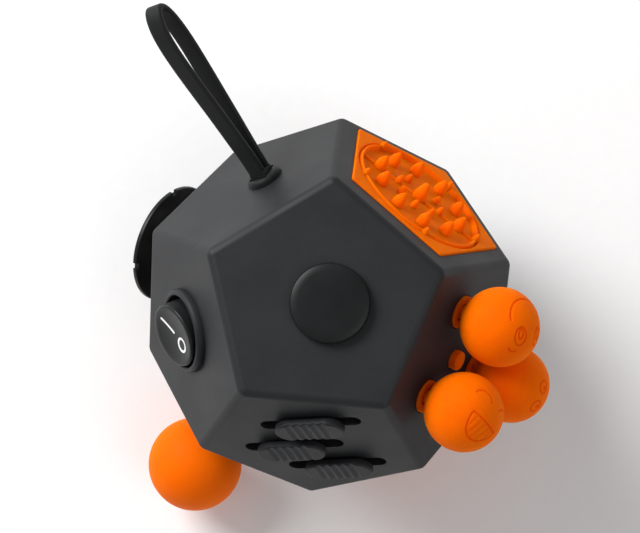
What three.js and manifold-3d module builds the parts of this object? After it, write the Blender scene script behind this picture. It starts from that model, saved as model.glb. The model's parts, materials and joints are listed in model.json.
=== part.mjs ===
// A twelve-sided fidget toy: two moulded half shells with a different toy on each of the twelve flats.
// Millimetres, +Z up. The toy lies on its button face, whose guard rim touches Z = 0 at the origin.
import * as THREE from 'three';
import { mergeVertices } from 'three/addons/utils/BufferGeometryUtils.js';
import { ConvexGeometry } from 'three/addons/geometries/ConvexGeometry.js';
import Module from 'manifold-3d';

const wasm = await Module();
wasm.setup();

// ---------- driving dimensions: the body ----------
const FACE_DISTANCE = 25; // from the middle of the body to each flat
const EDGE_ROUND = 1.6;
const WALL = 2;
const FIT = 0.3; // side clearance between neighbouring pieces
const SEAT = 0.15; // gap under a flange that rests on a flat
const SEAM = 0.3; // gap between the half shells, along Z
const PIN_RADIUS = 0.8;
const PIN_LENGTH = 5;
const BOSS_RADIUS = 1.9;

// ---------- glide pad ----------
const CAP_RADIUS = 6.3;
const CAP_THICKNESS = 1.5;
const CAP_LIFT = 0.4;
const GLIDE_STEM_RADIUS = 1.6;
const GLIDE_TRAVEL = 1.5; // each way from the middle of the hole
const GLIDE_REST = [1.2, -0.4]; // where the pad was left
const CARRIAGE_THICKNESS = 1.5;
const CARRIAGE_HALF = 5.2;
const PLATE = 1; // thickness of the inner flanges, feet and retaining plates

// ---------- rocker switch ----------
const ROCKER_SHIFT = -0.8;
const ROCKER_TURN = 28; // the rocking direction, degrees in the flat
const ROCKER_RADIUS = 5.2;
const ROCKER_TILT = 11.5; // degrees each way
const ROCKER_CROWN = 2.8; // the top over its own pivot, which lies level with the flat
const ROCKER_SKIRT = 2.4;
const BEZEL_BORE = 5.85;
const BEZEL_RADIUS = 6.8;
const BEZEL_HEIGHT = 1.3;
const HOUSING_RADIUS = 6.2;
const HOUSING_DEPTH = 7;
const TRUNNION_RADIUS = 0.8;

// ---------- sliders ----------
const SLIDER_TURN = 18;
const SLIDER_ROWS = [[2, 7.3, 0], [-3, 0, -0.3], [2, -7.3, 0.4]]; // middle of each slot, and where its knob was left
const SLOT_LENGTH = 16.4;
const SLOT_WIDTH = 2.8;
const KNOB_LENGTH = 11.2;
const KNOB_WIDTH = 5.2;
const KNOB_HEIGHT = 1.35;
const KNOB_GROOVES = 5;
const GROOVE_SPACING = 1.4;
const SLIDER_STEM = 6.8;
const FOOT_LENGTH = 8.4;
const FOOT_WIDTH = 4.4;
const COVER_RADIUS = 12.2;

// ---------- smile balls ----------
const SMILE_RADIUS = 6.25;
const SMILE_HEIGHT = 7; // middle of a ball over the flat
const SMILE_PITCH = 8.3; // middle of a ball from the middle of the flat
const SMILE_ANGLES = [30, 150, 270];
const COLLAR_RADIUS = 2.7;
const COLLAR_HEIGHT = 0.6;
const NECK_RADIUS = 1.1;
const SOCKET_RADIUS = 1.5;
const NUB_RADIUS = 1.6;
const NUB_HEIGHT = 1.2;
const SMILE_BASE_RADIUS = 11.5;

// ---------- spike pad ----------
const PAD_RADIUS = 15.5; // to the corners
const PAD_SHIFT = -1; // along the flat, away from the glide pad
const PAD_THICKNESS = 1.2;
const PAD_RECESS = 1;
const RIDGE_RADIUS = 11.6;
const RIDGE = 0.5;
const SPIKE_TURN = 7;

// ---------- lanyard ----------
const LANYARD_SHIFT = [-2, 1];
const LANYARD_TURN = 54;
const STRAP_WIDTH = 3;
const STRAP_THICKNESS = 1;
const GROMMET_RADIUS = 2.9;
const GROMMET_HEIGHT = 1.2;
const STRAP_PIVOT = 0.4;
const STRAP_PIN_RADIUS = 0.5;
const STRAP_ROOT = 2.6; // thickness of the moulded root, both legs together
// middle line of the loop, across and out from the grommet, chosen by hand
const LOOP_ROUTE = [
  [-0.8, 1.4], [-0.8, 6], [-0.85, 11], [-0.85, 16], [-0.85, 20.6], [-0.75, 25.4], [-0.4, 28.9],
  [0.25, 31.6], [1.2, 33.2], [2.3, 33.6], [3.35, 32.5], [4, 30.3], [4.1, 27.4], [3.75, 23.5],
  [3.05, 18.7], [2.3, 14], [1.6, 9], [1, 4.5], [0.8, 1.4],
];

// ---------- spinner ----------
const SPINNER_RADIUS = 10.25;
const SPINNER_LIFT = 7.1; // underside of the disc over the flat
const SPINNER_THICKNESS = 0.9;
const SPINNER_NOTCHES = 4;
const NOTCH_TURN = 52;
const NOTCH_WIDTH = 1.2;
const NOTCH_DEPTH = 0.6;
const SHAFT_RADIUS = 1.5;
const HUB_RADIUS = 2.6;
const BUSH_RADIUS = 3.2;

// ---------- ball joystick ----------
const KNOB_RADIUS = 8;
const KNOB_CENTRE = 14.2; // middle of the ball over the flat
const STICK_RADIUS = 1.5;
const STICK_PIVOT = 4.5; // depth of the gimbal under the flat
const GIMBAL_RADIUS = 4;
const GIMBAL_BORE = 2.6;
const CROSS_RADIUS = 0.6;
const CUP_RADIUS = 6.4;
const CUP_DEPTH = 10.5;
const STICK_SWING = 12;

// ---------- click buttons ----------
const RIM_HEIGHT = 2; // the guard rim that the toy lies on
const RIM_RADIUS = 12.6;
const RIM_WIDTH = 1.4;
const TRAY_HEIGHT = 0.9;
const BUTTON_RADIUS = 2.6;
const BUTTON_HEIGHT = 1.7;
const BUTTON_PITCH = 7;
const BUTTON_TRAVEL = 1.1;
const REST_BOSS_RADIUS = 2.4;

// ---------- thumb gears ----------
const GEAR_RADIUS = 5.2;
const GEAR_WIDTH = 3.4;
const GEAR_TEETH = 16;
const TOOTH_DEPTH = 0.5;
const GEAR_PITCH = 5.4; // from one gear to the next along the axle
const AXLE_RADIUS = 0.8;
const GEAR_DEPTH = WALL + AXLE_RADIUS + FIT; // depth of the axle under the flat, just clear of the wall

// ---------- rolling ball ----------
const ROLLER_RADIUS = 4.5;
const ROLLER_DEPTH = 2.6;
const ROLLER_CUP_RADIUS = 6;

// ---------- worry dish ----------
const DISH_FLANGE = 10;
const DISH_PLUG = 8.7;
const DISH_RADIUS = 8.2;
const DISH_DEPTH = 2.2;

// ---------- materials ----------
const finish = (color, roughness, metalness = 0) =>
  new THREE.MeshStandardMaterial({ color, roughness, metalness });
const SHELL_ABS = finish(0x3a3b3d, 0.55);
const BLACK_ABS = finish(0x242526, 0.4);
const ORANGE_SILICONE = finish(0xff6f0a, 0.5);
const ORANGE_ABS = finish(0xff6a08, 0.35);
const BLACK_SILICONE = finish(0x1e1f20, 0.7);
const NATURAL_ACETAL = finish(0xe8e4da, 0.45);
const BRIGHT_STEEL = finish(0xc9ccd0, 0.2, 1);

// ---------- solids ----------
const radians = THREE.MathUtils.degToRad;

function solid(geometry) {
  const bare = new THREE.BufferGeometry();
  const loose = geometry.index ? geometry.toNonIndexed() : geometry;
  bare.setAttribute('position', loose.getAttribute('position'));
  const merged = mergeVertices(bare, 1e-4);
  return new wasm.Manifold(new wasm.Mesh({
    numProp: 3,
    vertProperties: new Float32Array(merged.attributes.position.array),
    triVerts: new Uint32Array(merged.index.array),
  }));
}

function geometryOf(shape) {
  const mesh = shape.getMesh();
  const geometry = new THREE.BufferGeometry();
  geometry.setAttribute('position', new THREE.BufferAttribute(mesh.vertProperties, 3));
  geometry.setIndex(new THREE.BufferAttribute(mesh.triVerts, 1));
  return geometry;
}

const moved = (shape, matrix) => shape.transform(matrix.elements);
const shifted = (shape, x, y, z) => moved(shape, new THREE.Matrix4().makeTranslation(x, y, z));
const turnedAboutZ = (shape, degrees) => moved(shape, new THREE.Matrix4().makeRotationZ(radians(degrees)));
const polar = (radius, degrees) => [radius * Math.cos(radians(degrees)), radius * Math.sin(radians(degrees))];

// a round bar along Z between two heights
function disc(radius, low, high, sides = 24) {
  const bar = new THREE.CylinderGeometry(radius, radius, high - low, sides);
  return solid(bar.rotateX(Math.PI / 2).translate(0, 0, (low + high) / 2));
}

// a round bar of a given length, centred at a point, along X or Y
function barAlongX(radius, length, z, sides = 12) {
  return solid(new THREE.CylinderGeometry(radius, radius, length, sides).rotateZ(Math.PI / 2).translate(0, 0, z));
}

function barAlongY(radius, length, z, sides = 12) {
  return solid(new THREE.CylinderGeometry(radius, radius, length, sides).translate(0, 0, z));
}

const cone = (radius, tip, height, sides = 6) =>
  solid(new THREE.CylinderGeometry(tip, radius, height, sides).rotateX(Math.PI / 2).translate(0, 0, height / 2));

const ball = (radius, detail = 3) => solid(new THREE.IcosahedronGeometry(radius, detail));

// a block centred in X and Y, between two heights
const block = (length, width, low, high) =>
  solid(new THREE.BoxGeometry(length, width, high - low).translate(0, 0, (low + high) / 2));

// a closed [radius, height] outline, spun about Z
function turned(profile, sides = 24) {
  const outline = profile.map(([radius, height]) => new THREE.Vector2(radius, height));
  return solid(new THREE.LatheGeometry(outline, sides).rotateX(Math.PI / 2));
}

const ring = (bore, radius, low, high, sides = 20) =>
  turned([[bore, low], [radius, low], [radius, high], [bore, high], [bore, low]], sides);

function extruded(outline, low, high) {
  const shape = new THREE.ExtrudeGeometry(outline, { depth: high - low, bevelEnabled: false, curveSegments: 6 });
  return solid(shape.translate(0, 0, low));
}

// a slot outline with round ends, along X
function slotOutline(length, width) {
  const straight = (length - width) / 2;
  const outline = new THREE.Shape();
  outline.absarc(straight, 0, width / 2, -Math.PI / 2, Math.PI / 2);
  outline.absarc(-straight, 0, width / 2, Math.PI / 2, 3 * Math.PI / 2);
  return outline;
}

const slot = (length, width, low, high) => extruded(slotOutline(length, width), low, high);

function pentagon(radius, low, high, firstCorner) {
  const outline = [0, 1, 2, 3, 4].map((k) => new THREE.Vector2(...polar(radius, firstCorner + 72 * k)));
  return extruded(new THREE.Shape(outline), low, high);
}

// ---------- the twelve flats ----------
function ringNormal(azimuth, side) {
  const [x, y] = polar(2 / Math.sqrt(5), azimuth);
  return new THREE.Vector3(x, y, side / Math.sqrt(5));
}

const NORMALS = {
  glide: new THREE.Vector3(0, 0, 1),
  slider: ringNormal(-90, 1),
  smile: ringNormal(-18, 1),
  spike: ringNormal(54, 1),
  lanyard: ringNormal(126, 1),
  rocker: ringNormal(198, 1),
  button: new THREE.Vector3(0, 0, -1),
  gear: ringNormal(90, -1),
  spinner: ringNormal(162, -1),
  joystick: ringNormal(234, -1),
  worry: ringNormal(306, -1),
  roller: ringNormal(18, -1),
};
const FACE_NAMES = Object.keys(NORMALS);
const FRONT_NAMES = FACE_NAMES.slice(0, 6);
const REAR_NAMES = FACE_NAMES.slice(6);

// a flat's own frame: Z outwards, Y towards the glide face, or up on the two end faces
function faceMatrix(name) {
  const outward = NORMALS[name];
  const guide = Math.abs(outward.z) > 0.9 ? new THREE.Vector3(0, 1, 0) : new THREE.Vector3(0, 0, 1);
  const up = guide.addScaledVector(outward, -guide.dot(outward)).normalize();
  const across = new THREE.Vector3().crossVectors(up, outward);
  const matrix = new THREE.Matrix4().makeBasis(across, up, outward);
  return matrix.setPosition(outward.clone().multiplyScalar(FACE_DISTANCE));
}

const onFace = (name, shape) => moved(shape, faceMatrix(name));
const neighbours = (a, b) => a !== b && NORMALS[a].dot(NORMALS[b]) > 0.4;

function cornersOf(inradius) {
  const corners = [];
  FACE_NAMES.forEach((a, i) => FACE_NAMES.slice(i + 1).forEach((b, j) => {
    FACE_NAMES.slice(i + j + 2).forEach((c) => {
      if (!neighbours(a, b) || !neighbours(b, c) || !neighbours(a, c)) return;
      const point = NORMALS[a].clone().add(NORMALS[b]).add(NORMALS[c]).normalize();
      point.multiplyScalar(inradius / point.dot(NORMALS[a]));
      corners.push({ point, faces: [a, b, c] });
    });
  }));
  return corners;
}

const plainBody = (inradius) => solid(new ConvexGeometry(cornersOf(inradius).map((corner) => corner.point)));

function roundedBody(inradius, round) {
  const points = [];
  for (const corner of cornersOf(inradius - round)) {
    const [a, b, c] = corner.faces.map((name) => NORMALS[name]);
    const edges = [[a, b], [b, c], [c, a]].map(([p, q]) => p.clone().add(q).normalize());
    const tip = corner.point.clone().normalize();
    for (const way of [a, b, c, ...edges, tip]) points.push(corner.point.clone().addScaledVector(way, round));
  }
  return solid(new ConvexGeometry(points));
}

// everything seen from the middle of the body through the given flats
function sector(names, lift) {
  const corners = cornersOf(FACE_DISTANCE * 1.5);
  const middle = new THREE.Vector3();
  const triangles = [];
  for (const name of names) {
    const frame = faceMatrix(name).invert();
    const angleOf = (corner) => {
      const local = corner.point.clone().applyMatrix4(frame);
      return Math.atan2(local.y, local.x);
    };
    const loop = corners.filter((corner) => corner.faces.includes(name));
    loop.sort((p, q) => angleOf(p) - angleOf(q));
    loop.forEach((corner, k) => {
      const next = loop[(k + 1) % 5];
      if (k > 0 && k < 4) triangles.push(loop[0].point, corner.point, next.point);
      const across = corner.faces.find((other) => other !== name && next.faces.includes(other));
      if (!names.includes(across)) triangles.push(middle, next.point, corner.point);
    });
  }
  return shifted(solid(new THREE.BufferGeometry().setFromPoints(triangles)), 0, 0, lift);
}

// ---------- the object's tree of named meshes ----------
const toy = new THREE.Group();
const body = new THREE.Group();
body.position.z = FACE_DISTANCE + RIM_HEIGHT;
toy.add(body);

function faceGroup(name) {
  const group = new THREE.Group();
  group.applyMatrix4(faceMatrix(name));
  body.add(group);
  return group;
}

function innerGroup(parent, x, y, degrees = 0) {
  const group = new THREE.Group();
  group.position.set(x, y, 0);
  group.rotation.z = radians(degrees);
  parent.add(group);
  return group;
}

function add(parent, name, shape, material) {
  const mesh = new THREE.Mesh(geometryOf(shape), material);
  mesh.name = name;
  parent.add(mesh);
  return mesh;
}

const INSIDE = -WALL; // the inner side of a wall, in a flat's frame
const cuts = { front: [], rear: [] };
const ribs = { front: [], rear: [] };
const cut = (half, face, shape) => cuts[half].push(onFace(face, shape));
const rib = (half, face, shape) => ribs[half].push(onFace(face, shape));

// A low cap slides two ways: its stem crosses a carriage that runs between two ribs.
function glidePad() {
  const group = faceGroup('glide');
  const carriageTop = INSIDE - FIT;
  const carriageLow = carriageTop - CARRIAGE_THICKNESS;
  const flangeTop = carriageLow - FIT;
  const flangeLow = flangeTop - PLATE;
  const washerLow = flangeLow - SEAT - 0.6;
  const retainerTop = washerLow - FIT;
  const retainerLow = retainerTop - PLATE;
  const capTop = CAP_LIFT + CAP_THICKNESS;
  const flangeRadius = GLIDE_STEM_RADIUS + 1.3;
  const ribOffset = CARRIAGE_HALF + FIT + 0.6;
  const ribLength = 2 * (CARRIAGE_HALF + GLIDE_TRAVEL);

  const cap = turned([
    [0, flangeLow], [GLIDE_STEM_RADIUS, flangeLow], [GLIDE_STEM_RADIUS, CAP_LIFT],
    [CAP_RADIUS - 0.3, CAP_LIFT], [CAP_RADIUS, CAP_LIFT + 0.3], [CAP_RADIUS, capTop - 0.7],
    [CAP_RADIUS - 0.3, capTop - 0.4], [CAP_RADIUS * 0.7, capTop - 0.1], [0, capTop],
  ]);
  const [restX, restY] = GLIDE_REST;
  add(innerGroup(group, restX, restY), 'glide_cap', cap, BLACK_ABS);

  const across = 2 * (GLIDE_STEM_RADIUS + SEAT);
  const window = turnedAboutZ(slot(across + 2 * (GLIDE_TRAVEL + FIT), across, carriageLow - 1, carriageTop + 1), 90);
  const carriage = block(2 * CARRIAGE_HALF, 2 * CARRIAGE_HALF, carriageLow, carriageTop).subtract(window);
  add(innerGroup(group, restX, 0), 'glide_carriage', carriage, NATURAL_ACETAL);

  const stemBore = GLIDE_STEM_RADIUS + SEAT;
  add(innerGroup(group, restX, restY), 'glide_flange', ring(stemBore, flangeRadius, flangeLow, flangeTop), BLACK_ABS);
  const washer = ring(stemBore, flangeRadius, washerLow, flangeLow - SEAT);
  add(innerGroup(group, restX, restY), 'glide_washer', washer, BLACK_SILICONE);

  const peg = disc(0.8, retainerLow, retainerTop + FIT + 1, 12);
  const pegHole = disc(0.8 + SEAT, retainerLow - 1, retainerTop + 1, 12);
  let retainer = block(ribLength, 2 * ribOffset + 1.2, retainerLow, retainerTop);
  for (const side of [-1, 1]) {
    const rail = shifted(block(ribLength, 1.2, retainerTop + FIT, INSIDE + 0.5), 0, side * ribOffset, 0);
    rib('front', 'glide', rail.add(shifted(peg, side * 3, side * ribOffset, 0)));
    retainer = retainer.subtract(shifted(pegHole, side * 3, side * ribOffset, 0));
  }
  add(group, 'glide_retainer', retainer, NATURAL_ACETAL);
  const reach = GLIDE_STEM_RADIUS + Math.hypot(GLIDE_TRAVEL, GLIDE_TRAVEL) + FIT;
  cut('front', 'glide', disc(reach, INSIDE - 1, 2));
}

// A round two-position rocker on a cross pin, in a cup with a raised bezel.
function rockerSwitch() {
  const group = innerGroup(faceGroup('rocker'), ROCKER_SHIFT, 0, ROCKER_TURN);
  const floor = -HOUSING_DEPTH;
  const profile = [
    [0, floor], [HOUSING_RADIUS, floor], [HOUSING_RADIUS, SEAT], [BEZEL_RADIUS, SEAT],
    [BEZEL_RADIUS, BEZEL_HEIGHT - 0.5], [BEZEL_RADIUS - 0.35, BEZEL_HEIGHT], [BEZEL_BORE + 0.3, BEZEL_HEIGHT],
    [BEZEL_BORE, BEZEL_HEIGHT - 0.3], [BEZEL_BORE, floor + PLATE], [0, floor + PLATE],
  ];
  const pinBore = TRUNNION_RADIUS + SEAT;
  const housing = turned(profile).subtract(barAlongY(pinBore, 2 * HOUSING_RADIUS, 0));
  add(group, 'switch_housing', housing, BLACK_ABS);
  add(group, 'rocker_pin', barAlongY(TRUNNION_RADIUS, 2 * (HOUSING_RADIUS - SEAT), 0), BRIGHT_STEEL);

  const keelDepth = ROCKER_SKIRT + 1.6;
  const button = turned([
    [0, -ROCKER_SKIRT], [ROCKER_RADIUS, -ROCKER_SKIRT], [ROCKER_RADIUS, ROCKER_CROWN - 0.3],
    [ROCKER_RADIUS - 0.3, ROCKER_CROWN], [0, ROCKER_CROWN],
  ]);
  const tilted = new THREE.Group();
  tilted.rotation.y = radians(ROCKER_TILT);
  group.add(tilted);
  const pinHole = barAlongY(pinBore, 2 * ROCKER_RADIUS + 1, 0);
  add(tilted, 'rocker', button.add(block(1.6, 4, -keelDepth, 0)).subtract(pinHole), BLACK_ABS);

  // the detent spring: a bent strip with a hump that the keel rocks over
  const foot = floor + PLATE + SEAT;
  const hump = -keelDepth - FIT;
  const outline = [
    [-4, foot], [-3.4, foot], [-1, hump - 1], [0, hump - 0.4], [1, hump - 1], [3.4, foot], [4, foot],
    [4, foot + 0.4], [3.6, foot + 0.4], [1.2, hump - 0.6], [0, hump], [-1.2, hump - 0.6],
    [-3.6, foot + 0.4], [-4, foot + 0.4],
  ];
  const strip = new THREE.Shape(outline.map(([x, z]) => new THREE.Vector2(x, z)));
  const leaf = new THREE.ExtrudeGeometry(strip, { depth: 3, bevelEnabled: false });
  add(group, 'detent_spring', solid(leaf.translate(0, 0, -1.5).rotateX(Math.PI / 2)), BRIGHT_STEEL);
  cut('front', 'rocker', shifted(disc(HOUSING_RADIUS + FIT, INSIDE - 1, 2), ROCKER_SHIFT, 0, 0));
}

// Three ribbed knobs run in slots, each held by a foot under the wall.
function sliders() {
  const group = innerGroup(faceGroup('slider'), 0, 0, SLIDER_TURN);
  const footTop = INSIDE - FIT;
  const footLow = footTop - PLATE;
  const coverTop = footLow - FIT;
  const coverLow = coverTop - PLATE;
  const stemWidth = SLOT_WIDTH - 2 * FIT;
  SLIDER_ROWS.forEach(([x, y, rest], k) => {
    const row = innerGroup(group, x + rest, y);
    const rings = [];
    const levels = [[-0.8, CAP_LIFT], [0, CAP_LIFT + 0.4], [-0.2, CAP_LIFT + 0.7 * KNOB_HEIGHT], [-1.2, CAP_LIFT + KNOB_HEIGHT]];
    for (const [grow, z] of levels) {
      for (const point of slotOutline(KNOB_LENGTH + grow, KNOB_WIDTH + grow).getPoints(4)) {
        rings.push(new THREE.Vector3(point.x, point.y, z));
      }
    }
    let knob = solid(new ConvexGeometry(rings));
    for (let n = 0; n < KNOB_GROOVES; n += 1) {
      const place = (n - (KNOB_GROOVES - 1) / 2) * GROOVE_SPACING;
      const groove = barAlongY(0.4, KNOB_WIDTH + 1, CAP_LIFT + KNOB_HEIGHT + 0.05, 6);
      knob = knob.subtract(shifted(groove, place, 0, 0));
    }
    knob = knob.add(block(SLIDER_STEM, stemWidth, footLow, CAP_LIFT + 0.5));
    add(row, `slider_knob_${k + 1}`, knob, BLACK_ABS);
    const bore = block(SLIDER_STEM + 2 * SEAT, stemWidth + 2 * SEAT, footLow - 1, footTop + 1);
    add(row, `slider_foot_${k + 1}`, block(FOOT_LENGTH, FOOT_WIDTH, footLow, footTop).subtract(bore), BLACK_ABS);
    cut('front', 'slider', turnedAboutZ(shifted(slot(SLOT_LENGTH, SLOT_WIDTH, INSIDE - 1, 2), x, y, 0), SLIDER_TURN));
  });

  let cover = disc(COVER_RADIUS, coverLow, coverTop, 32);
  const pegRadius = 0.6;
  for (const side of [-1, 1]) {
    const between = side * SLIDER_ROWS[0][1] / 2;
    const rail = shifted(block(16, 1.4, coverTop + FIT, INSIDE + 0.5), 0, between, 0);
    const pegAt = (radius) => shifted(disc(radius, coverLow, coverTop + FIT + 1, 12), side * 6, between, 0);
    rib('front', 'slider', turnedAboutZ(rail.add(pegAt(pegRadius)), SLIDER_TURN));
    cover = cover.subtract(shifted(disc(pegRadius + SEAT, coverLow - 1, coverTop + 1, 12), side * 6, between, 0));
  }
  add(group, 'slider_cover', cover, BLACK_ABS);
}

// Three smiling balls on short flexible necks that grow out of one soft base.
function smileBalls() {
  const group = faceGroup('smile');
  const baseTop = INSIDE - FIT;
  let base = disc(SMILE_BASE_RADIUS, baseTop - PLATE, baseTop, 28);
  base = base.add(disc(NUB_RADIUS, baseTop - 0.5, NUB_HEIGHT, 16));
  cut('front', 'smile', disc(NUB_RADIUS + FIT, INSIDE - 1, 2));
  SMILE_ANGLES.forEach((angle, k) => {
    const [x, y] = polar(SMILE_PITCH, angle);
    base = base.add(shifted(disc(COLLAR_RADIUS, baseTop - 0.5, COLLAR_HEIGHT, 20), x, y, 0));
    base = base.subtract(shifted(disc(SOCKET_RADIUS, INSIDE + 0.4, COLLAR_HEIGHT + 1, 12), x, y, 0));
    cut('front', 'smile', shifted(disc(COLLAR_RADIUS + FIT, INSIDE - 1, 2, 20), x, y, 0));
    const place = innerGroup(group, x, y, angle);
    add(place, `ball_neck_${k + 1}`, disc(NECK_RADIUS, INSIDE + 0.8, 2, 12), ORANGE_SILICONE);
    const orb = shifted(ball(SMILE_RADIUS), 0, 0, SMILE_HEIGHT).subtract(disc(SOCKET_RADIUS, 0, 2.4, 12));
    add(place, `smile_ball_${k + 1}`, orb, ORANGE_SILICONE);
  });
  add(group, 'smile_base', base, ORANGE_SILICONE);
}

// A soft pad of cones sunk into a five-sided recess.
function spikePad() {
  const group = innerGroup(faceGroup('spike'), 0, PAD_SHIFT);
  const low = SEAT - PAD_RECESS;
  const top = low + PAD_THICKNESS;
  let pad = pentagon(PAD_RADIUS, low, top, -90);
  pad = pad.add(ring(RIDGE_RADIUS - RIDGE / 2, RIDGE_RADIUS + RIDGE / 2, top - 0.2, top + 0.3, 32));
  pad = pad.add(turnedAboutZ(block(2 * RIDGE_RADIUS, RIDGE, top - 0.2, top + 0.3), SPIKE_TURN));
  const circles = [
    { count: 1, radius: 0, turn: 0, foot: 1.15, height: 2.9 },
    { count: 8, radius: 4.1, turn: SPIKE_TURN, foot: 0.55, height: 1.2 },
    { count: 10, radius: 7.9, turn: SPIKE_TURN, foot: 1, height: 2.3 },
    { count: 5, radius: 11.4, turn: SPIKE_TURN + 36, foot: 0.55, height: 1.2 },
  ];
  for (const circle of circles) {
    for (let k = 0; k < circle.count; k += 1) {
      const [x, y] = polar(circle.radius, circle.turn + 360 * k / circle.count);
      pad = pad.add(shifted(cone(circle.foot, 0.2, circle.height + 0.2), x, y, top - 0.2));
    }
  }
  add(group, 'spike_pad', pad, ORANGE_SILICONE);
  cut('front', 'spike', shifted(pentagon(PAD_RADIUS + FIT, -PAD_RECESS, 2, -90), 0, PAD_SHIFT, 0));
}

// A flat loop of strap, hinged on a pin in a round grommet.
function lanyard() {
  const [x, y] = LANYARD_SHIFT;
  const group = innerGroup(faceGroup('lanyard'), x, y, LANYARD_TURN);
  const grommet = turned([
    [0, INSIDE - FIT - PLATE], [GROMMET_RADIUS + 1.2, INSIDE - FIT - PLATE], [GROMMET_RADIUS + 1.2, INSIDE - FIT],
    [GROMMET_RADIUS, INSIDE - FIT], [GROMMET_RADIUS, GROMMET_HEIGHT - 0.4], [GROMMET_RADIUS - 0.4, GROMMET_HEIGHT],
    [0, GROMMET_HEIGHT],
  ], 20);
  const pocket = block(STRAP_ROOT + 1.2, STRAP_WIDTH + 0.4, STRAP_PIVOT - STRAP_ROOT / 2 - FIT, GROMMET_HEIGHT + 1);
  const pinBore = barAlongY(STRAP_PIN_RADIUS + SEAT, 2 * GROMMET_RADIUS - 0.4, STRAP_PIVOT, 12);
  add(group, 'lanyard_grommet', grommet.subtract(pocket).subtract(pinBore), BLACK_SILICONE);
  add(group, 'lanyard_pin', barAlongY(STRAP_PIN_RADIUS, 2 * GROMMET_RADIUS - 0.8, STRAP_PIVOT, 12), BRIGHT_STEEL);

  const route = new THREE.CatmullRomCurve3(LOOP_ROUTE.map(([across, out]) => new THREE.Vector3(across, out, 0)));
  const outer = [];
  const inner = [];
  for (let k = 0; k <= 40; k += 1) {
    const point = route.getPoint(k / 40);
    const along = route.getTangent(k / 40);
    const half = STRAP_THICKNESS / 2;
    outer.push(new THREE.Vector2(point.x - along.y * half, point.y + along.x * half));
    inner.push(new THREE.Vector2(point.x + along.y * half, point.y - along.x * half));
  }
  const ribbon = new THREE.Shape([...outer, ...inner.reverse()]);
  const depth = { depth: STRAP_WIDTH, bevelEnabled: false };
  const band = new THREE.ExtrudeGeometry(ribbon, depth).rotateX(Math.PI / 2).translate(0, STRAP_WIDTH / 2, 0);
  const eye = barAlongY(STRAP_ROOT / 2, STRAP_WIDTH, STRAP_PIVOT, 16);
  const root = block(STRAP_ROOT, STRAP_WIDTH, STRAP_PIVOT, LOOP_ROUTE[0][1] + 0.6).add(eye);
  const pinHole = barAlongY(STRAP_PIN_RADIUS + SEAT, STRAP_WIDTH + 1, STRAP_PIVOT, 12);
  add(group, 'lanyard_loop', solid(band).add(root).subtract(pinHole), BLACK_SILICONE);
  cut('front', 'lanyard', shifted(disc(GROMMET_RADIUS + FIT, INSIDE - 1, 2), x, y, 0));
}

// A notched disc held off the flat by a hub, free to spin in a bush.
function spinner() {
  const group = faceGroup('spinner');
  const top = SPINNER_LIFT + SPINNER_THICKNESS;
  const flange = 1;
  let plate = turned([
    [SHAFT_RADIUS + SEAT, SPINNER_LIFT], [SPINNER_RADIUS - 0.3, SPINNER_LIFT], [SPINNER_RADIUS, SPINNER_LIFT + 0.3],
    [SPINNER_RADIUS, top - 0.3], [SPINNER_RADIUS - 0.3, top], [SHAFT_RADIUS + SEAT, top],
    [SHAFT_RADIUS + SEAT, SPINNER_LIFT],
  ], 36);
  for (let k = 0; k < SPINNER_NOTCHES; k += 1) {
    const tool = shifted(block(2 * NOTCH_DEPTH, NOTCH_WIDTH, SPINNER_LIFT - 1, top + 1), SPINNER_RADIUS, 0, 0);
    plate = plate.subtract(turnedAboutZ(tool, NOTCH_TURN + 360 * k / SPINNER_NOTCHES));
  }
  add(group, 'spin_disc', plate, BLACK_ABS);
  const clipTop = INSIDE - 3 - SEAT;
  const clipLow = clipTop - 0.8;
  const groove = SHAFT_RADIUS - 0.4;
  const shaft = turned([
    [0, clipLow - 0.6], [SHAFT_RADIUS, clipLow - 0.6], [SHAFT_RADIUS, clipLow - SEAT], [groove, clipLow - SEAT],
    [groove, clipTop + 0.05], [SHAFT_RADIUS, clipTop + 0.05], [SHAFT_RADIUS, flange + SEAT],
    [HUB_RADIUS, flange + SEAT], [HUB_RADIUS, SPINNER_LIFT - SEAT], [SHAFT_RADIUS, SPINNER_LIFT - SEAT],
    [SHAFT_RADIUS, top], [0, top],
  ], 20);
  add(group, 'spin_shaft', shaft, BLACK_ABS);
  const bush = turned([
    [SHAFT_RADIUS + SEAT, INSIDE - 3], [BUSH_RADIUS, INSIDE - 3], [BUSH_RADIUS, SEAT], [BUSH_RADIUS + 1.2, SEAT],
    [BUSH_RADIUS + 1.2, flange - 0.3], [BUSH_RADIUS + 0.9, flange], [SHAFT_RADIUS + SEAT, flange],
    [SHAFT_RADIUS + SEAT, INSIDE - 3],
  ], 24);
  add(group, 'spin_bush', bush, NATURAL_ACETAL);
  add(group, 'spin_clip', ring(groove + SEAT, BUSH_RADIUS - 0.4, clipLow, clipTop), BRIGHT_STEEL);
  cut('rear', 'spinner', disc(BUSH_RADIUS + FIT, INSIDE - 1, 2));
}

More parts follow.
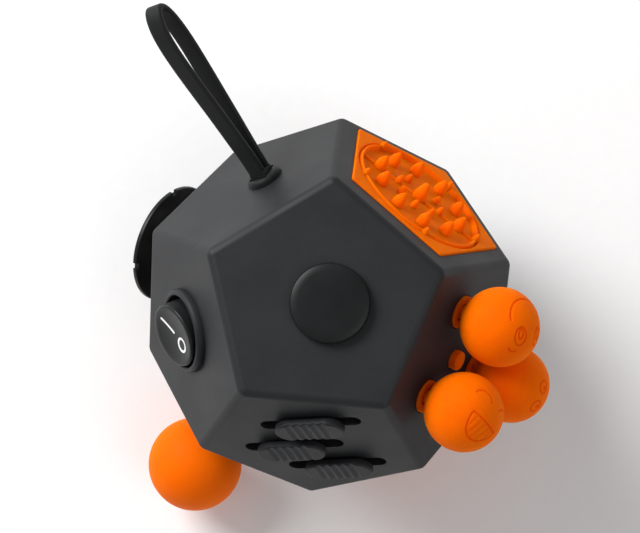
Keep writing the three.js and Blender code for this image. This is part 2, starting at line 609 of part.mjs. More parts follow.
// A ball-topped stick on a gimbal, in a cup with a return spring.
function joystick() {
  const group = faceGroup('joystick');
  const knobLow = KNOB_CENTRE - KNOB_RADIUS;
  const stickTop = knobLow + 3;
  const orb = shifted(ball(KNOB_RADIUS, 4), 0, 0, KNOB_CENTRE);
  const socket = disc(STICK_RADIUS + SEAT, knobLow - 1, stickTop + SEAT, 20);
  add(group, 'joystick_ball', orb.subtract(socket), ORANGE_ABS);
  const tail = STICK_PIVOT + 1.9;
  let stick = disc(STICK_RADIUS, -tail, stickTop, 20);
  stick = stick.add(barAlongY(CROSS_RADIUS, 2 * (GIMBAL_RADIUS - 0.3), -STICK_PIVOT, 12));
  add(group, 'joystick_stick', stick, BLACK_ABS);
  const half = 0.8;
  const bore = CROSS_RADIUS + SEAT;
  let gimbal = ring(GIMBAL_BORE, GIMBAL_RADIUS, -STICK_PIVOT - half, -STICK_PIVOT + half);
  gimbal = gimbal.subtract(barAlongY(bore, 2 * GIMBAL_RADIUS + 1, -STICK_PIVOT, 12));
  const swing = GIMBAL_RADIUS + 0.8;
  for (const side of [-1, 1]) {
    const trunnion = barAlongX(CROSS_RADIUS, 2.3, -STICK_PIVOT, 12);
    gimbal = gimbal.add(shifted(trunnion, side * (swing + 0.1), 0, 0));
  }
  add(group, 'joystick_gimbal', gimbal, NATURAL_ACETAL);
  const cupTop = INSIDE - FIT;
  const cup = turned([
    [0, -CUP_DEPTH], [CUP_RADIUS, -CUP_DEPTH], [CUP_RADIUS, cupTop], [swing, cupTop],
    [swing, 0.8 - CUP_DEPTH], [0, 0.8 - CUP_DEPTH],
  ]).subtract(barAlongX(bore, 2 * CUP_RADIUS - 0.4, -STICK_PIVOT, 12));
  add(group, 'joystick_cup', cup, NATURAL_ACETAL);

  const turns = 3;
  const wire = 0.25;
  const coilLow = 0.8 - CUP_DEPTH + SEAT + wire;
  const coilHigh = -tail - 0.8;
  const helix = new THREE.CatmullRomCurve3(Array.from({ length: 31 }, (_, k) => {
    const [x, y] = polar(2, turns * 360 * k / 30);
    return new THREE.Vector3(x, y, coilLow + (coilHigh - coilLow) * k / 30);
  }));
  const section = new THREE.Shape(Array.from({ length: 5 }, (_, k) => new THREE.Vector2(...polar(wire, 72 * k))));
  const coil = new THREE.ExtrudeGeometry(section, { steps: 32, extrudePath: helix, bevelEnabled: false });
  add(group, 'joystick_spring', solid(coil), BRIGHT_STEEL);
  const reach = STICK_RADIUS + Math.SQRT2 * STICK_PIVOT * Math.tan(radians(STICK_SWING)) + FIT;
  cut('rear', 'joystick', disc(reach, INSIDE - 1, 2));
}

// Five click buttons in a tray, guarded by a rim that the toy lies on.
function buttons() {
  const group = faceGroup('button');
  const trayLow = INSIDE + 0.2;
  const flangeTop = trayLow - SEAT;
  const flangeLow = flangeTop - PLATE;
  const matTop = flangeLow - BUTTON_TRAVEL - FIT;
  const matLow = matTop - 0.6;
  const backTop = matLow - SEAT;
  const tray = turned([
    [0, trayLow], [RIM_RADIUS - 1.5, trayLow], [RIM_RADIUS - 1.5, SEAT], [RIM_RADIUS, SEAT],
    [RIM_RADIUS, RIM_HEIGHT - 0.4], [RIM_RADIUS - 0.4, RIM_HEIGHT], [RIM_RADIUS - RIM_WIDTH, RIM_HEIGHT],
    [RIM_RADIUS - RIM_WIDTH - 0.4, TRAY_HEIGHT], [REST_BOSS_RADIUS + 0.3, TRAY_HEIGHT],
    [REST_BOSS_RADIUS, RIM_HEIGHT], [0, RIM_HEIGHT],
  ], 36);
  let plate = tray;
  for (let k = 0; k < 5; k += 1) {
    const [x, y] = polar(BUTTON_PITCH, 90 + 72 * k);
    plate = plate.subtract(shifted(disc(BUTTON_RADIUS + SEAT, trayLow - 1, RIM_HEIGHT + 1, 20), x, y, 0));
    const button = turned([
      [0, flangeLow], [BUTTON_RADIUS + 0.7, flangeLow], [BUTTON_RADIUS + 0.7, flangeTop], [BUTTON_RADIUS, flangeTop],
      [BUTTON_RADIUS, BUTTON_HEIGHT - 0.6], [BUTTON_RADIUS * 0.8, BUTTON_HEIGHT - 0.15], [0, BUTTON_HEIGHT],
    ], 20);
    add(innerGroup(group, x, y), `button_${k + 1}`, button, k % 2 ? ORANGE_SILICONE : BLACK_ABS);
  }
  add(group, 'button_tray', plate, BLACK_ABS);
  add(group, 'button_mat', disc(RIM_RADIUS - 2.4, matLow, matTop), BLACK_SILICONE);
  add(group, 'button_back', disc(RIM_RADIUS - 2.4, backTop - PLATE, backTop), NATURAL_ACETAL);
  cut('rear', 'button', disc(RIM_RADIUS - 1.5 + FIT, INSIDE - 1, 2, 36));
}

// Three thumb gears on one axle, standing out of slots.
function thumbGears() {
  const group = faceGroup('gear');
  const outline = new THREE.Shape(Array.from({ length: 4 * GEAR_TEETH }, (_, k) => {
    const radius = k % 4 < 2 ? GEAR_RADIUS : GEAR_RADIUS - TOOTH_DEPTH;
    return new THREE.Vector2(...polar(radius, (k + 0.5) * 90 / GEAR_TEETH));
  }));
  const chord = Math.sqrt(GEAR_RADIUS ** 2 - (GEAR_DEPTH + INSIDE) ** 2);
  const slotHalf = chord + FIT;
  for (const [k, place] of [-GEAR_PITCH, 0, GEAR_PITCH].entries()) {
    const blank = new THREE.ExtrudeGeometry(outline, { depth: GEAR_WIDTH, bevelEnabled: false });
    blank.translate(0, 0, -GEAR_WIDTH / 2).rotateY(Math.PI / 2);
    const gear = solid(blank).subtract(barAlongX(AXLE_RADIUS + SEAT, GEAR_WIDTH + 1, 0));
    const holder = innerGroup(group, place, 0);
    holder.position.z = -GEAR_DEPTH;
    add(holder, `thumb_gear_${k + 1}`, gear, k === 1 ? ORANGE_ABS : BLACK_ABS);
    cut('rear', 'gear', shifted(block(GEAR_WIDTH + 2 * FIT, 2 * slotHalf, INSIDE - 1, 2), place, 0, 0));
  }
  const cheek = GEAR_PITCH + GEAR_WIDTH / 2 + FIT;
  const floorTop = -GEAR_DEPTH - GEAR_RADIUS - FIT;
  const bore = barAlongX(AXLE_RADIUS + SEAT, 2 * (cheek + 2), -GEAR_DEPTH);
  let cradle = block(2 * (cheek + 1.2), 5, floorTop - PLATE, floorTop);
  for (const side of [-1, 1]) {
    cradle = cradle.add(shifted(block(1.2, 5, floorTop - 0.5, INSIDE - FIT), side * (cheek + 0.6), 0, 0));
  }
  add(group, 'gear_cradle', cradle.subtract(bore), NATURAL_ACETAL);
  add(group, 'gear_axle', barAlongX(AXLE_RADIUS, 2 * (cheek + 1.1), -GEAR_DEPTH), BRIGHT_STEEL);
}

// A steel ball that rolls in a cup behind a round mouth.
function rollingBall() {
  const group = faceGroup('roller');
  const room = shifted(ball(ROLLER_RADIUS + FIT), 0, 0, -ROLLER_DEPTH);
  const orb = new THREE.IcosahedronGeometry(ROLLER_RADIUS, 3).translate(0, 0, -ROLLER_DEPTH);
  add(group, 'rolling_ball', solid(orb), BRIGHT_STEEL);
  const low = -ROLLER_DEPTH - ROLLER_RADIUS - FIT - PLATE;
  add(group, 'rolling_cup', disc(ROLLER_CUP_RADIUS, low, INSIDE - FIT, 24).subtract(room), NATURAL_ACETAL);
  cut('rear', 'roller', room);
}

// A smooth hollow for the thumb.
function worryDish() {
  const group = faceGroup('worry');
  const top = 1;
  const low = INSIDE - 1;
  const sag = (DISH_RADIUS ** 2 + DISH_DEPTH ** 2) / (2 * DISH_DEPTH);
  const hollow = [];
  for (let k = 0; k <= 4; k += 1) {
    const radius = DISH_RADIUS * (1 - k / 4);
    hollow.push([radius, top - DISH_DEPTH + sag - Math.sqrt(sag ** 2 - radius ** 2)]);
  }
  const dish = turned([
    [0, low], [DISH_PLUG, low], [DISH_PLUG, SEAT], [DISH_FLANGE, SEAT], [DISH_FLANGE, top - 0.5],
    [DISH_FLANGE - 0.5, top], ...hollow,
  ]);
  add(group, 'worry_dish', dish, ORANGE_SILICONE);
  cut('rear', 'worry', disc(DISH_PLUG + FIT, INSIDE - 1, 2));
}

// Bosses and dowels hold the halves in line where two front flats meet one rear flat.
function seamPins() {
  const corners = cornersOf((FACE_DISTANCE - WALL) * 0.9);
  const shared = corners.filter((corner) => corner.faces.filter((name) => FRONT_NAMES.includes(name)).length === 2);
  const inner = plainBody(FACE_DISTANCE - WALL / 2);
  const bosses = [];
  shared.forEach(({ point }, k) => {
    const at = (shape) => shifted(shape, point.x, point.y, point.z);
    bosses.push(at(disc(BOSS_RADIUS, -5, 5, 16)).intersect(inner));
    const hole = at(disc(PIN_RADIUS + SEAT, -PIN_LENGTH / 2 - SEAT, PIN_LENGTH / 2 + SEAT, 12));
    cuts.front.push(hole);
    cuts.rear.push(hole);
    const pin = add(body, `seam_pin_${k + 1}`, disc(PIN_RADIUS, -PIN_LENGTH / 2, PIN_LENGTH / 2, 12), BRIGHT_STEEL);
    pin.position.copy(point);
  });
  return bosses;
}

function halfShell(name, half, faces, bosses) {
  const lift = half === 'front' ? SEAM / 2 : -SEAM / 2;
  let shell = roundedBody(FACE_DISTANCE, EDGE_ROUND).subtract(plainBody(FACE_DISTANCE - WALL));
  for (const boss of bosses) shell = shell.add(boss);
  shell = shell.intersect(sector(faces, lift));
  for (const piece of ribs[half]) shell = shell.add(piece);
  for (const piece of cuts[half]) shell = shell.subtract(piece);
  add(body, name, shell, SHELL_ABS);
}

glidePad();
rockerSwitch();
sliders();
smileBalls();
spikePad();
lanyard();
spinner();
joystick();
buttons();
thumbGears();
rollingBall();
worryDish();
const bosses = seamPins();
halfShell('front_shell', 'front', FRONT_NAMES, bosses);
halfShell('rear_shell', 'rear', REAR_NAMES, bosses);

export default toy;
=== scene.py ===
# %% [markdown]
# # A twelve-sided fidget toy
# The real toy is a hand-sized dodecahedron, moulded in two halves, with a different small toy on
# each of its twelve flats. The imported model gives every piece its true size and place. This lesson
# makes the fine surfaces that people see and touch, and gives each of them its own finish.

import json
import math

import bmesh
import bpy
from mathutils import Matrix, Vector
from mathutils.kdtree import KDTree


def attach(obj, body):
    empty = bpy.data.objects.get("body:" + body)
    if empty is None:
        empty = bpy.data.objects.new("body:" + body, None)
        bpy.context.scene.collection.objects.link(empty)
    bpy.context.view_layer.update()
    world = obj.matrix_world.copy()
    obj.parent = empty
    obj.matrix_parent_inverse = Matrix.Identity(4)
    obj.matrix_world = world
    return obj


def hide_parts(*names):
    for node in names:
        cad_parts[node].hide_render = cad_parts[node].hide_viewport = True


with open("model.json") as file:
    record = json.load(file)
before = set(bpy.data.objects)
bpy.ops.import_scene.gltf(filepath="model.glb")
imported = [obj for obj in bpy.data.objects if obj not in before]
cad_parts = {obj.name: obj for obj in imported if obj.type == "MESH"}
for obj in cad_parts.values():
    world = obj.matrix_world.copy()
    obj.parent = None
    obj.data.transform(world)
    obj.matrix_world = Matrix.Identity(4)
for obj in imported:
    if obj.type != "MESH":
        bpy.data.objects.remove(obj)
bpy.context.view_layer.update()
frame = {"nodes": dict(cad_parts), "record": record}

# %% [markdown]
# The camera comes first, because everything else is judged through it. The toy lies on its button
# side and is seen from almost straight above, so the camera's three axes are given directly.

# %% Camera
MM = 0.001
CAMERA_PLACE = Vector((10.28, -13.18, 382.52)) * MM
CAMERA_RIGHT = Vector((0.995516, 0.090199, -0.028502))
CAMERA_UP = Vector((-0.088437, 0.994393, 0.057975))
camera_data = bpy.data.cameras.new("camera")
camera_data.lens = 121.7
camera_data.clip_start = 0.01
camera = bpy.data.objects.new("camera", camera_data)
bpy.context.scene.collection.objects.link(camera)
camera_back = CAMERA_RIGHT.cross(CAMERA_UP)
turn = Matrix((CAMERA_RIGHT, CAMERA_UP, camera_back)).transposed()
camera.matrix_world = Matrix.Translation(CAMERA_PLACE) @ turn.to_4x4()
bpy.context.scene.camera = camera
print("camera height:", round(CAMERA_PLACE.z, 4), "m")

# %% [markdown]
# Every toy sits on its own flat, so each is modelled in millimetres in that flat's own frame: Z
# out of the flat, Y towards the glide pad. A dodecahedron's flats are one on each pole and two
# rings of five, and the rings lean by the same angle, whose sine and cosine are 1/sqrt(5) and
# 2/sqrt(5).

# %% The twelve flats
FACE_DISTANCE = 25.0
RIM_HEIGHT = 2.0
WALL = 2.0
EDGE_ROUND = 1.6


def ring_normal(azimuth, side):
    angle = math.radians(azimuth)
    return Vector((2 * math.cos(angle), 2 * math.sin(angle), side)) / math.sqrt(5)


NORMALS = {
    "glide": Vector((0, 0, 1)),
    "slider": ring_normal(-90, 1),
    "smile": ring_normal(-18, 1),
    "spike": ring_normal(54, 1),
    "lanyard": ring_normal(126, 1),
    "rocker": ring_normal(198, 1),
    "button": Vector((0, 0, -1)),
    "gear": ring_normal(90, -1),
    "spinner": ring_normal(162, -1),
    "joystick": ring_normal(234, -1),
    "worry": ring_normal(306, -1),
    "roller": ring_normal(18, -1),
}
FRONT = list(NORMALS)[:6]
REAR = list(NORMALS)[6:]


def flat(name, x=0.0, y=0.0, degrees=0.0, z=0.0):
    """The frame of a point on a flat, in millimetres from the middle of the body."""
    outward = NORMALS[name]
    guide = Vector((0, 1, 0)) if abs(outward.z) > 0.9 else Vector((0, 0, 1))
    up = (guide - outward * guide.dot(outward)).normalized()
    across = up.cross(outward)
    axes = Matrix((across, up, outward)).transposed().to_4x4()
    there = Matrix.Translation(outward * FACE_DISTANCE) @ axes @ Matrix.Translation((x, y, z))
    return there @ Matrix.Rotation(math.radians(degrees), 4, "Z")


def polar(radius, degrees):
    return radius * math.cos(math.radians(degrees)), radius * math.sin(math.radians(degrees))


TO_WORLD = Matrix.Scale(MM, 4) @ Matrix.Translation((0, 0, FACE_DISTANCE + RIM_HEIGHT))
print("flats:", len(NORMALS))

# %% [markdown]
# Finishes are built from nodes. One small function adds a node with its settings and links, and
# one more turns the sRGB hex values that a colour chart gives into the linear values that a shader
# needs.


# %% Node and colour helpers
def linear(hex_text):
    channels = [int(hex_text[k : k + 2], 16) / 255 for k in (0, 2, 4)]
    bent = [c / 12.92 if c <= 0.04045 else ((c + 0.055) / 1.055) ** 2.4 for c in channels]
    return (*bent, 1.0)


def add(tree, kind, values=None, links=None, **settings):
    node = tree.nodes.new(kind)
    for key, value in settings.items():
        setattr(node, key, value)
    for key, value in (values or {}).items():
        node.inputs[key].default_value = value
    for key, socket in (links or {}).items():
        tree.links.new(socket, node.inputs[key])
    return node


def blank_finish(name):
    finish = bpy.data.materials.new(name)
    finish.use_nodes = True
    return finish, finish.node_tree, finish.node_tree.nodes["Principled BSDF"]


def per_metre(millimetres):
    """The scale of a pattern whose features are that far apart."""
    return 1000.0 / millimetres


print("node helpers ready")

# %% [markdown]
# The toy is nearly all injection-moulded plastic and silicone. A mould leaves two things to see: a
# fine grain that was sparked into the steel, and slow changes of colour and gloss from the way the
# melt cooled and from handling. So one recipe serves them all, with its own colours, grain size
# and depth. The grain of a real shell is about 0.1 mm, and it is drawn at 0.2 mm or more so that
# it shows.


# %% Moulded finishes
def moulded(
    name, dark, light, grain, depth, gloss, ior=1.5, patch=9.0, scatter=0.0, sheen=0.0, glint=0.3
):
    """grain and patch in mm, depth of the grain in mm, gloss = (lowest, highest roughness)."""
    finish, tree, shader = blank_finish(name)
    place = add(tree, "ShaderNodeTexCoord").outputs["Object"]
    cloudy = add(
        tree,
        "ShaderNodeTexNoise",
        {"Scale": per_metre(patch), "Detail": 3.0, "Roughness": 0.55},
        {"Vector": place},
    )
    fine = add(
        tree,
        "ShaderNodeTexNoise",
        {"Scale": per_metre(grain), "Detail": 2.0, "Roughness": 0.6},
        {"Vector": place},
    )
    both = add(
        tree,
        "ShaderNodeMix",
        {"Factor": 0.35},
        {"A": cloudy.outputs["Fac"], "B": fine.outputs["Fac"]},
        data_type="FLOAT",
    )
    colour = add(tree, "ShaderNodeValToRGB", links={"Fac": both.outputs[0]})
    colour.color_ramp.elements[0].position = 0.36
    colour.color_ramp.elements[1].position = 0.64
    colour.color_ramp.elements[0].color = linear(dark)
    colour.color_ramp.elements[1].color = linear(light)
    rough = add(
        tree,
        "ShaderNodeMapRange",
        {"From Min": 0.35, "From Max": 0.65, "To Min": gloss[0], "To Max": gloss[1]},
        {"Value": cloudy.outputs["Fac"]},
    )
    relief = add(
        tree,
        "ShaderNodeBump",
        {"Strength": 1.0, "Distance": depth * MM},
        {"Height": fine.outputs["Fac"]},
    )
    tree.links.new(colour.outputs["Color"], shader.inputs["Base Color"])
    tree.links.new(rough.outputs["Result"], shader.inputs["Roughness"])
    tree.links.new(relief.outputs["Normal"], shader.inputs["Normal"])
    shader.inputs["IOR"].default_value = ior
    shader.inputs["Specular IOR Level"].default_value = glint
    if scatter:
        shader.inputs["Subsurface Weight"].default_value = scatter
        shader.inputs["Subsurface Radius"].default_value = (1.0, 0.2, 0.04)
        shader.inputs["Subsurface Scale"].default_value = 2.4 * MM
    if sheen:
        shader.inputs["Sheen Weight"].default_value = sheen
        shader.inputs["Sheen Roughness"].default_value = 0.5
    return finish


# spark-eroded ABS: soft broad highlights on a dark grey shell
shell_abs = moulded("spark_eroded_grey_abs", "1f2022", "252628", 0.30, 0.012, (0.5, 0.58))
# satin black ABS of the glide cap, the rocker and the disc: finer grain and a little more gloss
black_abs = moulded("satin_black_abs", "161718", "1b1c1d", 0.22, 0.006, (0.32, 0.42), glint=0.22)
# the slider knobs and the rocker's bezel are the shell's grey, made a shade lighter
knob_abs = moulded(
    "satin_grey_abs_knobs", "202124", "27282b", 0.22, 0.006, (0.48, 0.58), glint=0.24
)
# silicone rubber: a soft skin that light enters a little way
ORANGES = ("f86800", "ff7000")
orange_silicone = moulded(
    "soft_orange_silicone",
    *ORANGES,
    grain=0.35,
    depth=0.006,
    gloss=(0.6, 0.7),
    ior=1.41,
    patch=6.0,
    scatter=0.55,
    glint=0.04,
)
# the joystick's ball and the middle gear are dyed ABS, a little smoother than the silicone
orange_abs = moulded(
    "moulded_orange_abs",
    *ORANGES,
    grain=0.3,
    depth=0.004,
    gloss=(0.52, 0.62),
    patch=8.0,
    scatter=0.5,
    glint=0.05,
)
# black silicone has a faint sheen, and lets no light in
black_silicone = moulded(
    "matt_black_silicone",
    "131415",
    "191a1b",
    grain=0.25,
    depth=0.01,
    gloss=(0.5, 0.62),
    ior=1.41,
    patch=5.0,
    sheen=0.08,
)
white_acetal = moulded(
    "natural_acetal", "dcd8cc", "efebe0", 0.3, 0.004, (0.36, 0.46), ior=1.48, patch=8.0, scatter=0.1
)
white_ink = moulded("white_pad_printing", "eceded", "fafafa", 0.2, 0.003, (0.38, 0.5), patch=2.0)
print("moulded finishes:", len(bpy.data.materials))

# %% [markdown]
# Pins, springs and the rolling ball are bright drawn steel. Drawing and polishing leave very fine
# scratches, which spread the highlight along one way. A noise stretched ten times gives that.


# %% Steel
def drawn_steel(name):
    finish, tree, shader = blank_finish(name)
    place = add(tree, "ShaderNodeTexCoord").outputs["Object"]
    stretched = add(tree, "ShaderNodeMapping", {"Scale": (1.0, 1.0, 0.1)}, {"Vector": place})
    scratches = add(
        tree,
        "ShaderNodeTexNoise",
        {"Scale": per_metre(0.15), "Detail": 3.0},
        {"Vector": stretched.outputs["Vector"]},
    )
    colour = add(tree, "ShaderNodeValToRGB", links={"Fac": scratches.outputs["Fac"]})
    colour.color_ramp.elements[0].color = linear("b9bcc0")
    colour.color_ramp.elements[1].color = linear("d6d8da")
    rough = add(
        tree,
        "ShaderNodeMapRange",
        {"To Min": 0.12, "To Max": 0.3},
        {"Value": scratches.outputs["Fac"]},
    )
    relief = add(
        tree,
        "ShaderNodeBump",
        {"Strength": 0.4, "Distance": 0.002 * MM},
        {"Height": scratches.outputs["Fac"]},
    )
    tree.links.new(colour.outputs["Color"], shader.inputs["Base Color"])
    tree.links.new(rough.outputs["Result"], shader.inputs["Roughness"])
    tree.links.new(relief.outputs["Normal"], shader.inputs["Normal"])
    shader.inputs["Metallic"].default_value = 1.0
    return finish


bright_steel = drawn_steel("drawn_bright_steel")
print("steel:", bright_steel.name)

# %% [markdown]
# Each CAD node that stays in sight, or sits inside where a section would show it, takes the finish
# of its material slot in the record.

# %% Finishes for the carried nodes
SLOT_FINISH = {
    "shell_abs": shell_abs,
    "black_abs": black_abs,
    "orange_silicone": orange_silicone,
    "orange_abs": orange_abs,
    "black_silicone": black_silicone,
    "natural_acetal": white_acetal,
    "bright_steel": bright_steel,
}
slot_of = {row["node"]: row["material_slot"] for row in frame["record"]["subparts"]}
for node_name, node in frame["nodes"].items():
    node.data.materials.clear()
    node.data.materials.append(SLOT_FINISH[slot_of[node_name]])
print("nodes with a finish:", len(slot_of))

# %% [markdown]
# A finished piece needs the same last steps every time: its millimetre mesh goes to its flat, hard
# edges are marked, the flats are kept flat in shading by weighted normals, it takes its finish,
# it is hung on the body it rides on, and the nodes it stands for are hidden.


# %% Finishing helpers
def sharper_than(bm, degrees):
    """The edges between two faces that turn by more than this angle."""
    paired = [edge for edge in bm.edges if len(edge.link_faces) == 2]
    return [edge for edge in paired if edge.calc_face_angle(0.0) > math.radians(degrees)]


def sharpen(bm, degrees=35.0):
    for face in bm.faces:
        face.smooth = True
    for edge in bm.edges:
        edge.smooth = True
    for edge in sharper_than(bm, degrees):
        edge.smooth = False


def piece(name, bm, place, body, finish, nodes=()):
    bmesh.ops.transform(bm, matrix=TO_WORLD @ place, verts=bm.verts)
    sharpen(bm)
    mesh = bpy.data.meshes.new(name)
    bm.to_mesh(mesh)
    bm.free()
    mesh.materials.append(finish)
    made = bpy.data.objects.new(name, mesh)
    bpy.context.scene.collection.objects.link(made)
    weighted = made.modifiers.new("even flats", "WEIGHTED_NORMAL")
    weighted.keep_sharp = True
    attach(made, body)
    if nodes:
        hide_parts(*nodes)
    print(name, "faces:", len(mesh.polygons))
    return made


print("finishing helpers ready")

# %% [markdown]
# Most small parts are turned shapes: a half outline, given as radius and height, is spun about Z.
# Hard corners are then bevelled, as the mould's own small radii are. Bars and blocks come from the
# basic shapes and are bevelled the same way.


# %% Shape helpers
BEVEL = {"offset_type": "OFFSET", "affect": "EDGES", "profile": 0.5, "material": -1}
HARD_EDGE = 28.0


def soften(bm, width, degrees=HARD_EDGE, segments=3):
    hard = sharper_than(bm, degrees)
    bmesh.ops.bevel(bm, geom=hard, offset=width, segments=segments, clamp_overlap=True, **BEVEL)
    return bm


def lathe(outline, steps=72, closed=False, round_off=0.0):
    bm = bmesh.new()
    points = [bm.verts.new((radius, 0.0, height)) for radius, height in outline]
    pairs = list(zip(points, points[1:])) + ([(points[-1], points[0])] if closed else [])
    edges = [bm.edges.new(pair) for pair in pairs]
    bmesh.ops.spin(
        bm,
        geom=points + edges,
        cent=(0, 0, 0),
        axis=(0, 0, 1),
        angle=math.tau,
        steps=steps,
        use_merge=True,
    )
    bmesh.ops.remove_doubles(bm, verts=bm.verts, dist=1e-4)
    bmesh.ops.recalc_face_normals(bm, faces=bm.faces)
    return soften(bm, round_off) if round_off else bm


def rod(radius, low, high, steps=32, round_off=0.0):
    bm = bmesh.new()
    bmesh.ops.create_cone(
        bm,
        cap_ends=True,
        segments=steps,
        radius1=radius,
        radius2=radius,
        depth=high - low,
        matrix=Matrix.Translation((0, 0, (low + high) / 2)),
    )
    return soften(bm, round_off) if round_off else bm


def brick(length, width, low, high, round_off=0.0):
    bm = bmesh.new()
    bmesh.ops.create_cube(bm, size=1.0)
    size = Matrix.Diagonal((length, width, high - low, 1.0))
    lift = Matrix.Translation((0, 0, (low + high) / 2))
    bmesh.ops.transform(bm, matrix=lift @ size, verts=bm.verts)
    return soften(bm, round_off) if round_off else bm


def orb(radius, height=0.0, fineness=6):
    bm = bmesh.new()
    lift = Matrix.Translation((0, 0, height))
    bmesh.ops.create_icosphere(bm, subdivisions=fineness, radius=radius, matrix=lift)
    return bm


def plate(points, low, high, round_off=0.0, segments=3):
    """A flat outline, extruded from low to high."""
    bm = bmesh.new()
    face = bm.faces.new([bm.verts.new((x, y, low)) for x, y in points])
    grown = bmesh.ops.extrude_face_region(bm, geom=[face])
    lifted = [v for v in grown["geom"] if isinstance(v, bmesh.types.BMVert)]
    bmesh.ops.translate(bm, verts=lifted, vec=(0, 0, high - low))
    bmesh.ops.recalc_face_normals(bm, faces=bm.faces)
    return soften(bm, round_off, HARD_EDGE, segments) if round_off else bm


def circle_points(radius, steps=64, x=0.0, y=0.0, first=0.0):
    around = [polar(radius, first + 360 * k / steps) for k in range(steps)]
    return [(x + dx, y + dy) for dx, dy in around]


def slot_points(length, width, x=0.0, y=0.0, degrees=0.0, steps=14):
    reach, radius = (length - width) / 2, width / 2
    right = [polar(radius, -90 + 180 * k / steps) for k in range(steps + 1)]
    ends = [(reach + px, py) for px, py in right] + [(-reach - px, -py) for px, py in right]
    c, s = math.cos(math.radians(degrees)), math.sin(math.radians(degrees))
    return [(c * (x + px) - s * (y + py), s * (x + px) + c * (y + py)) for px, py in ends]


def joined(*parts):
    """Several closed shapes as one mesh."""
    whole = bmesh.new()
    for part in parts:
        spare = bpy.data.meshes.new("spare")
        part.to_mesh(spare)
        part.free()
        whole.from_mesh(spare)
        bpy.data.meshes.remove(spare)
    return whole


def placed(bm, x=0.0, y=0.0, z=0.0):
    bmesh.ops.transform(bm, matrix=Matrix.Translation((x, y, z)), verts=bm.verts)
    return bm


def turned(bm, degrees, axis="Z"):
    turn = Matrix.Rotation(math.radians(degrees), 3, axis)
    bmesh.ops.rotate(bm, verts=bm.verts, cent=(0, 0, 0), matrix=turn)
    return bm


print("shape helpers ready")

# %% [markdown]
# Notches, pockets and bores are cut with a Boolean modifier, which is applied at once so that the
# piece is plain mesh again and can be rounded and placed like any other.


# %% Cutting helper
def cut_out(bm, *tools):
    """bm less the tools, all in the same frame."""
    meshes = []
    for label, shape in (("work", bm), ("tool", joined(*tools))):
        data = bpy.data.meshes.new(label)
        shape.to_mesh(data)
        shape.free()
        meshes.append(bpy.data.objects.new(label, data))
        bpy.context.scene.collection.objects.link(meshes[-1])
    work, tool = meshes
    knife = work.modifiers.new("cut", "BOOLEAN")
    knife.operation, knife.solver, knife.object = "DIFFERENCE", "EXACT", tool
    knife.use_self = True
    bpy.context.view_layer.update()
    result = bmesh.new()
    result.from_mesh(work.evaluated_get(bpy.context.evaluated_depsgraph_get()).data)
    for item in meshes:
        data = item.data
        bpy.data.objects.remove(item)
        bpy.data.meshes.remove(data)
    bmesh.ops.remove_doubles(result, verts=result.verts, dist=1e-4)
    return result


print("cutting helper ready")

# %% [markdown]
# ## The body
# The body is a dodecahedron with rounded edges, 50 mm across its flats. A cube that is larger than
# the body is cut by each flat's plane in turn, which leaves the sharp dodecahedron. One bevel
# rounds all thirty edges and twenty corners. Its offset along a flat is the radius times the
# tangent of half the angle through which the surface turns there, 31.7 degrees.


# %% The rounded dodecahedron
def rounded_body(segments=8):
    bm = bmesh.new()
    bmesh.ops.create_cube(bm, size=4 * FACE_DISTANCE)
    for outward in NORMALS.values():
        cut = bmesh.ops.bisect_plane(
            bm,
            geom=bm.verts[:] + bm.edges[:] + bm.faces[:],
            dist=1e-4,
            plane_co=outward * FACE_DISTANCE,
            plane_no=outward,
            clear_outer=True,
        )
        rim = [part for part in cut["geom_cut"] if isinstance(part, bmesh.types.BMEdge)]
        bmesh.ops.edgeloop_fill(bm, edges=rim)
    half_turn = math.acos(1 / math.sqrt(5)) / 2
    bmesh.ops.recalc_face_normals(bm, faces=bm.faces)
    bmesh.ops.bevel(
        bm,
        geom=bm.edges[:],
        offset=EDGE_ROUND * math.tan(half_turn),
        segments=segments,
        clamp_overlap=False,
        **BEVEL,
    )
    return bm


def nearest_flat(point):
    return max(NORMALS, key=lambda name: NORMALS[name].dot(point))


print("edges rounded to", EDGE_ROUND, "mm")

# %% [markdown]
# Each flat is then opened where its toy comes through. The flat is taken out, the outlines of its
# holes are drawn in its plane, and one fill makes the flat again around them.

# %% Openings in the flats
SLIDER_TURN = 18.0
SLIDER_ROWS = [(2.0, 7.3, 0.0), (-3.0, 0.0, -0.3), (2.0, -7.3, 0.4)]
SLOT_LENGTH, SLOT_WIDTH = 16.4, 2.8
SMILE_ANGLES = [30.0, 150.0, 270.0]
SMILE_PITCH = 8.3
LANYARD_SHIFT = (-2.0, 1.0)
PAD_SHIFT = -1.0
ROCKER_SHIFT = -0.8
GEAR_PITCH, GEAR_WIDTH = 5.4, 3.4
COLLAR_HOLE, NUB_HOLE = 2.85, 1.75
PAD_HOLE = 15.65

OPENINGS = {
    "glide": [circle_points(4.02, 48)],
    "slider": [slot_points(SLOT_LENGTH, SLOT_WIDTH, x, y, SLIDER_TURN) for x, y, _ in SLIDER_ROWS],
    "smile": [circle_points(COLLAR_HOLE, 48, *polar(SMILE_PITCH, a)) for a in SMILE_ANGLES]
    + [circle_points(NUB_HOLE, 40)],
    "spike": [circle_points(PAD_HOLE, 5, 0.0, PAD_SHIFT, -90.0)],
    "lanyard": [circle_points(3.0, 48, *LANYARD_SHIFT)],
    "rocker": [circle_points(6.4, 72, ROCKER_SHIFT)],
    "button": [circle_points(11.3, 96)],
    "gear": [
        [(k * GEAR_PITCH + sx * 2.0, sy * 5.38) for sx, sy in ((-1, -1), (1, -1), (1, 1), (-1, 1))]
        for k in (-1, 0, 1)
    ],
    "spinner": [circle_points(3.4, 48)],
    "joystick": [circle_points(3.15, 48)],
    "worry": [circle_points(8.9, 80)],
    "roller": [circle_points(4.03, 64)],
}


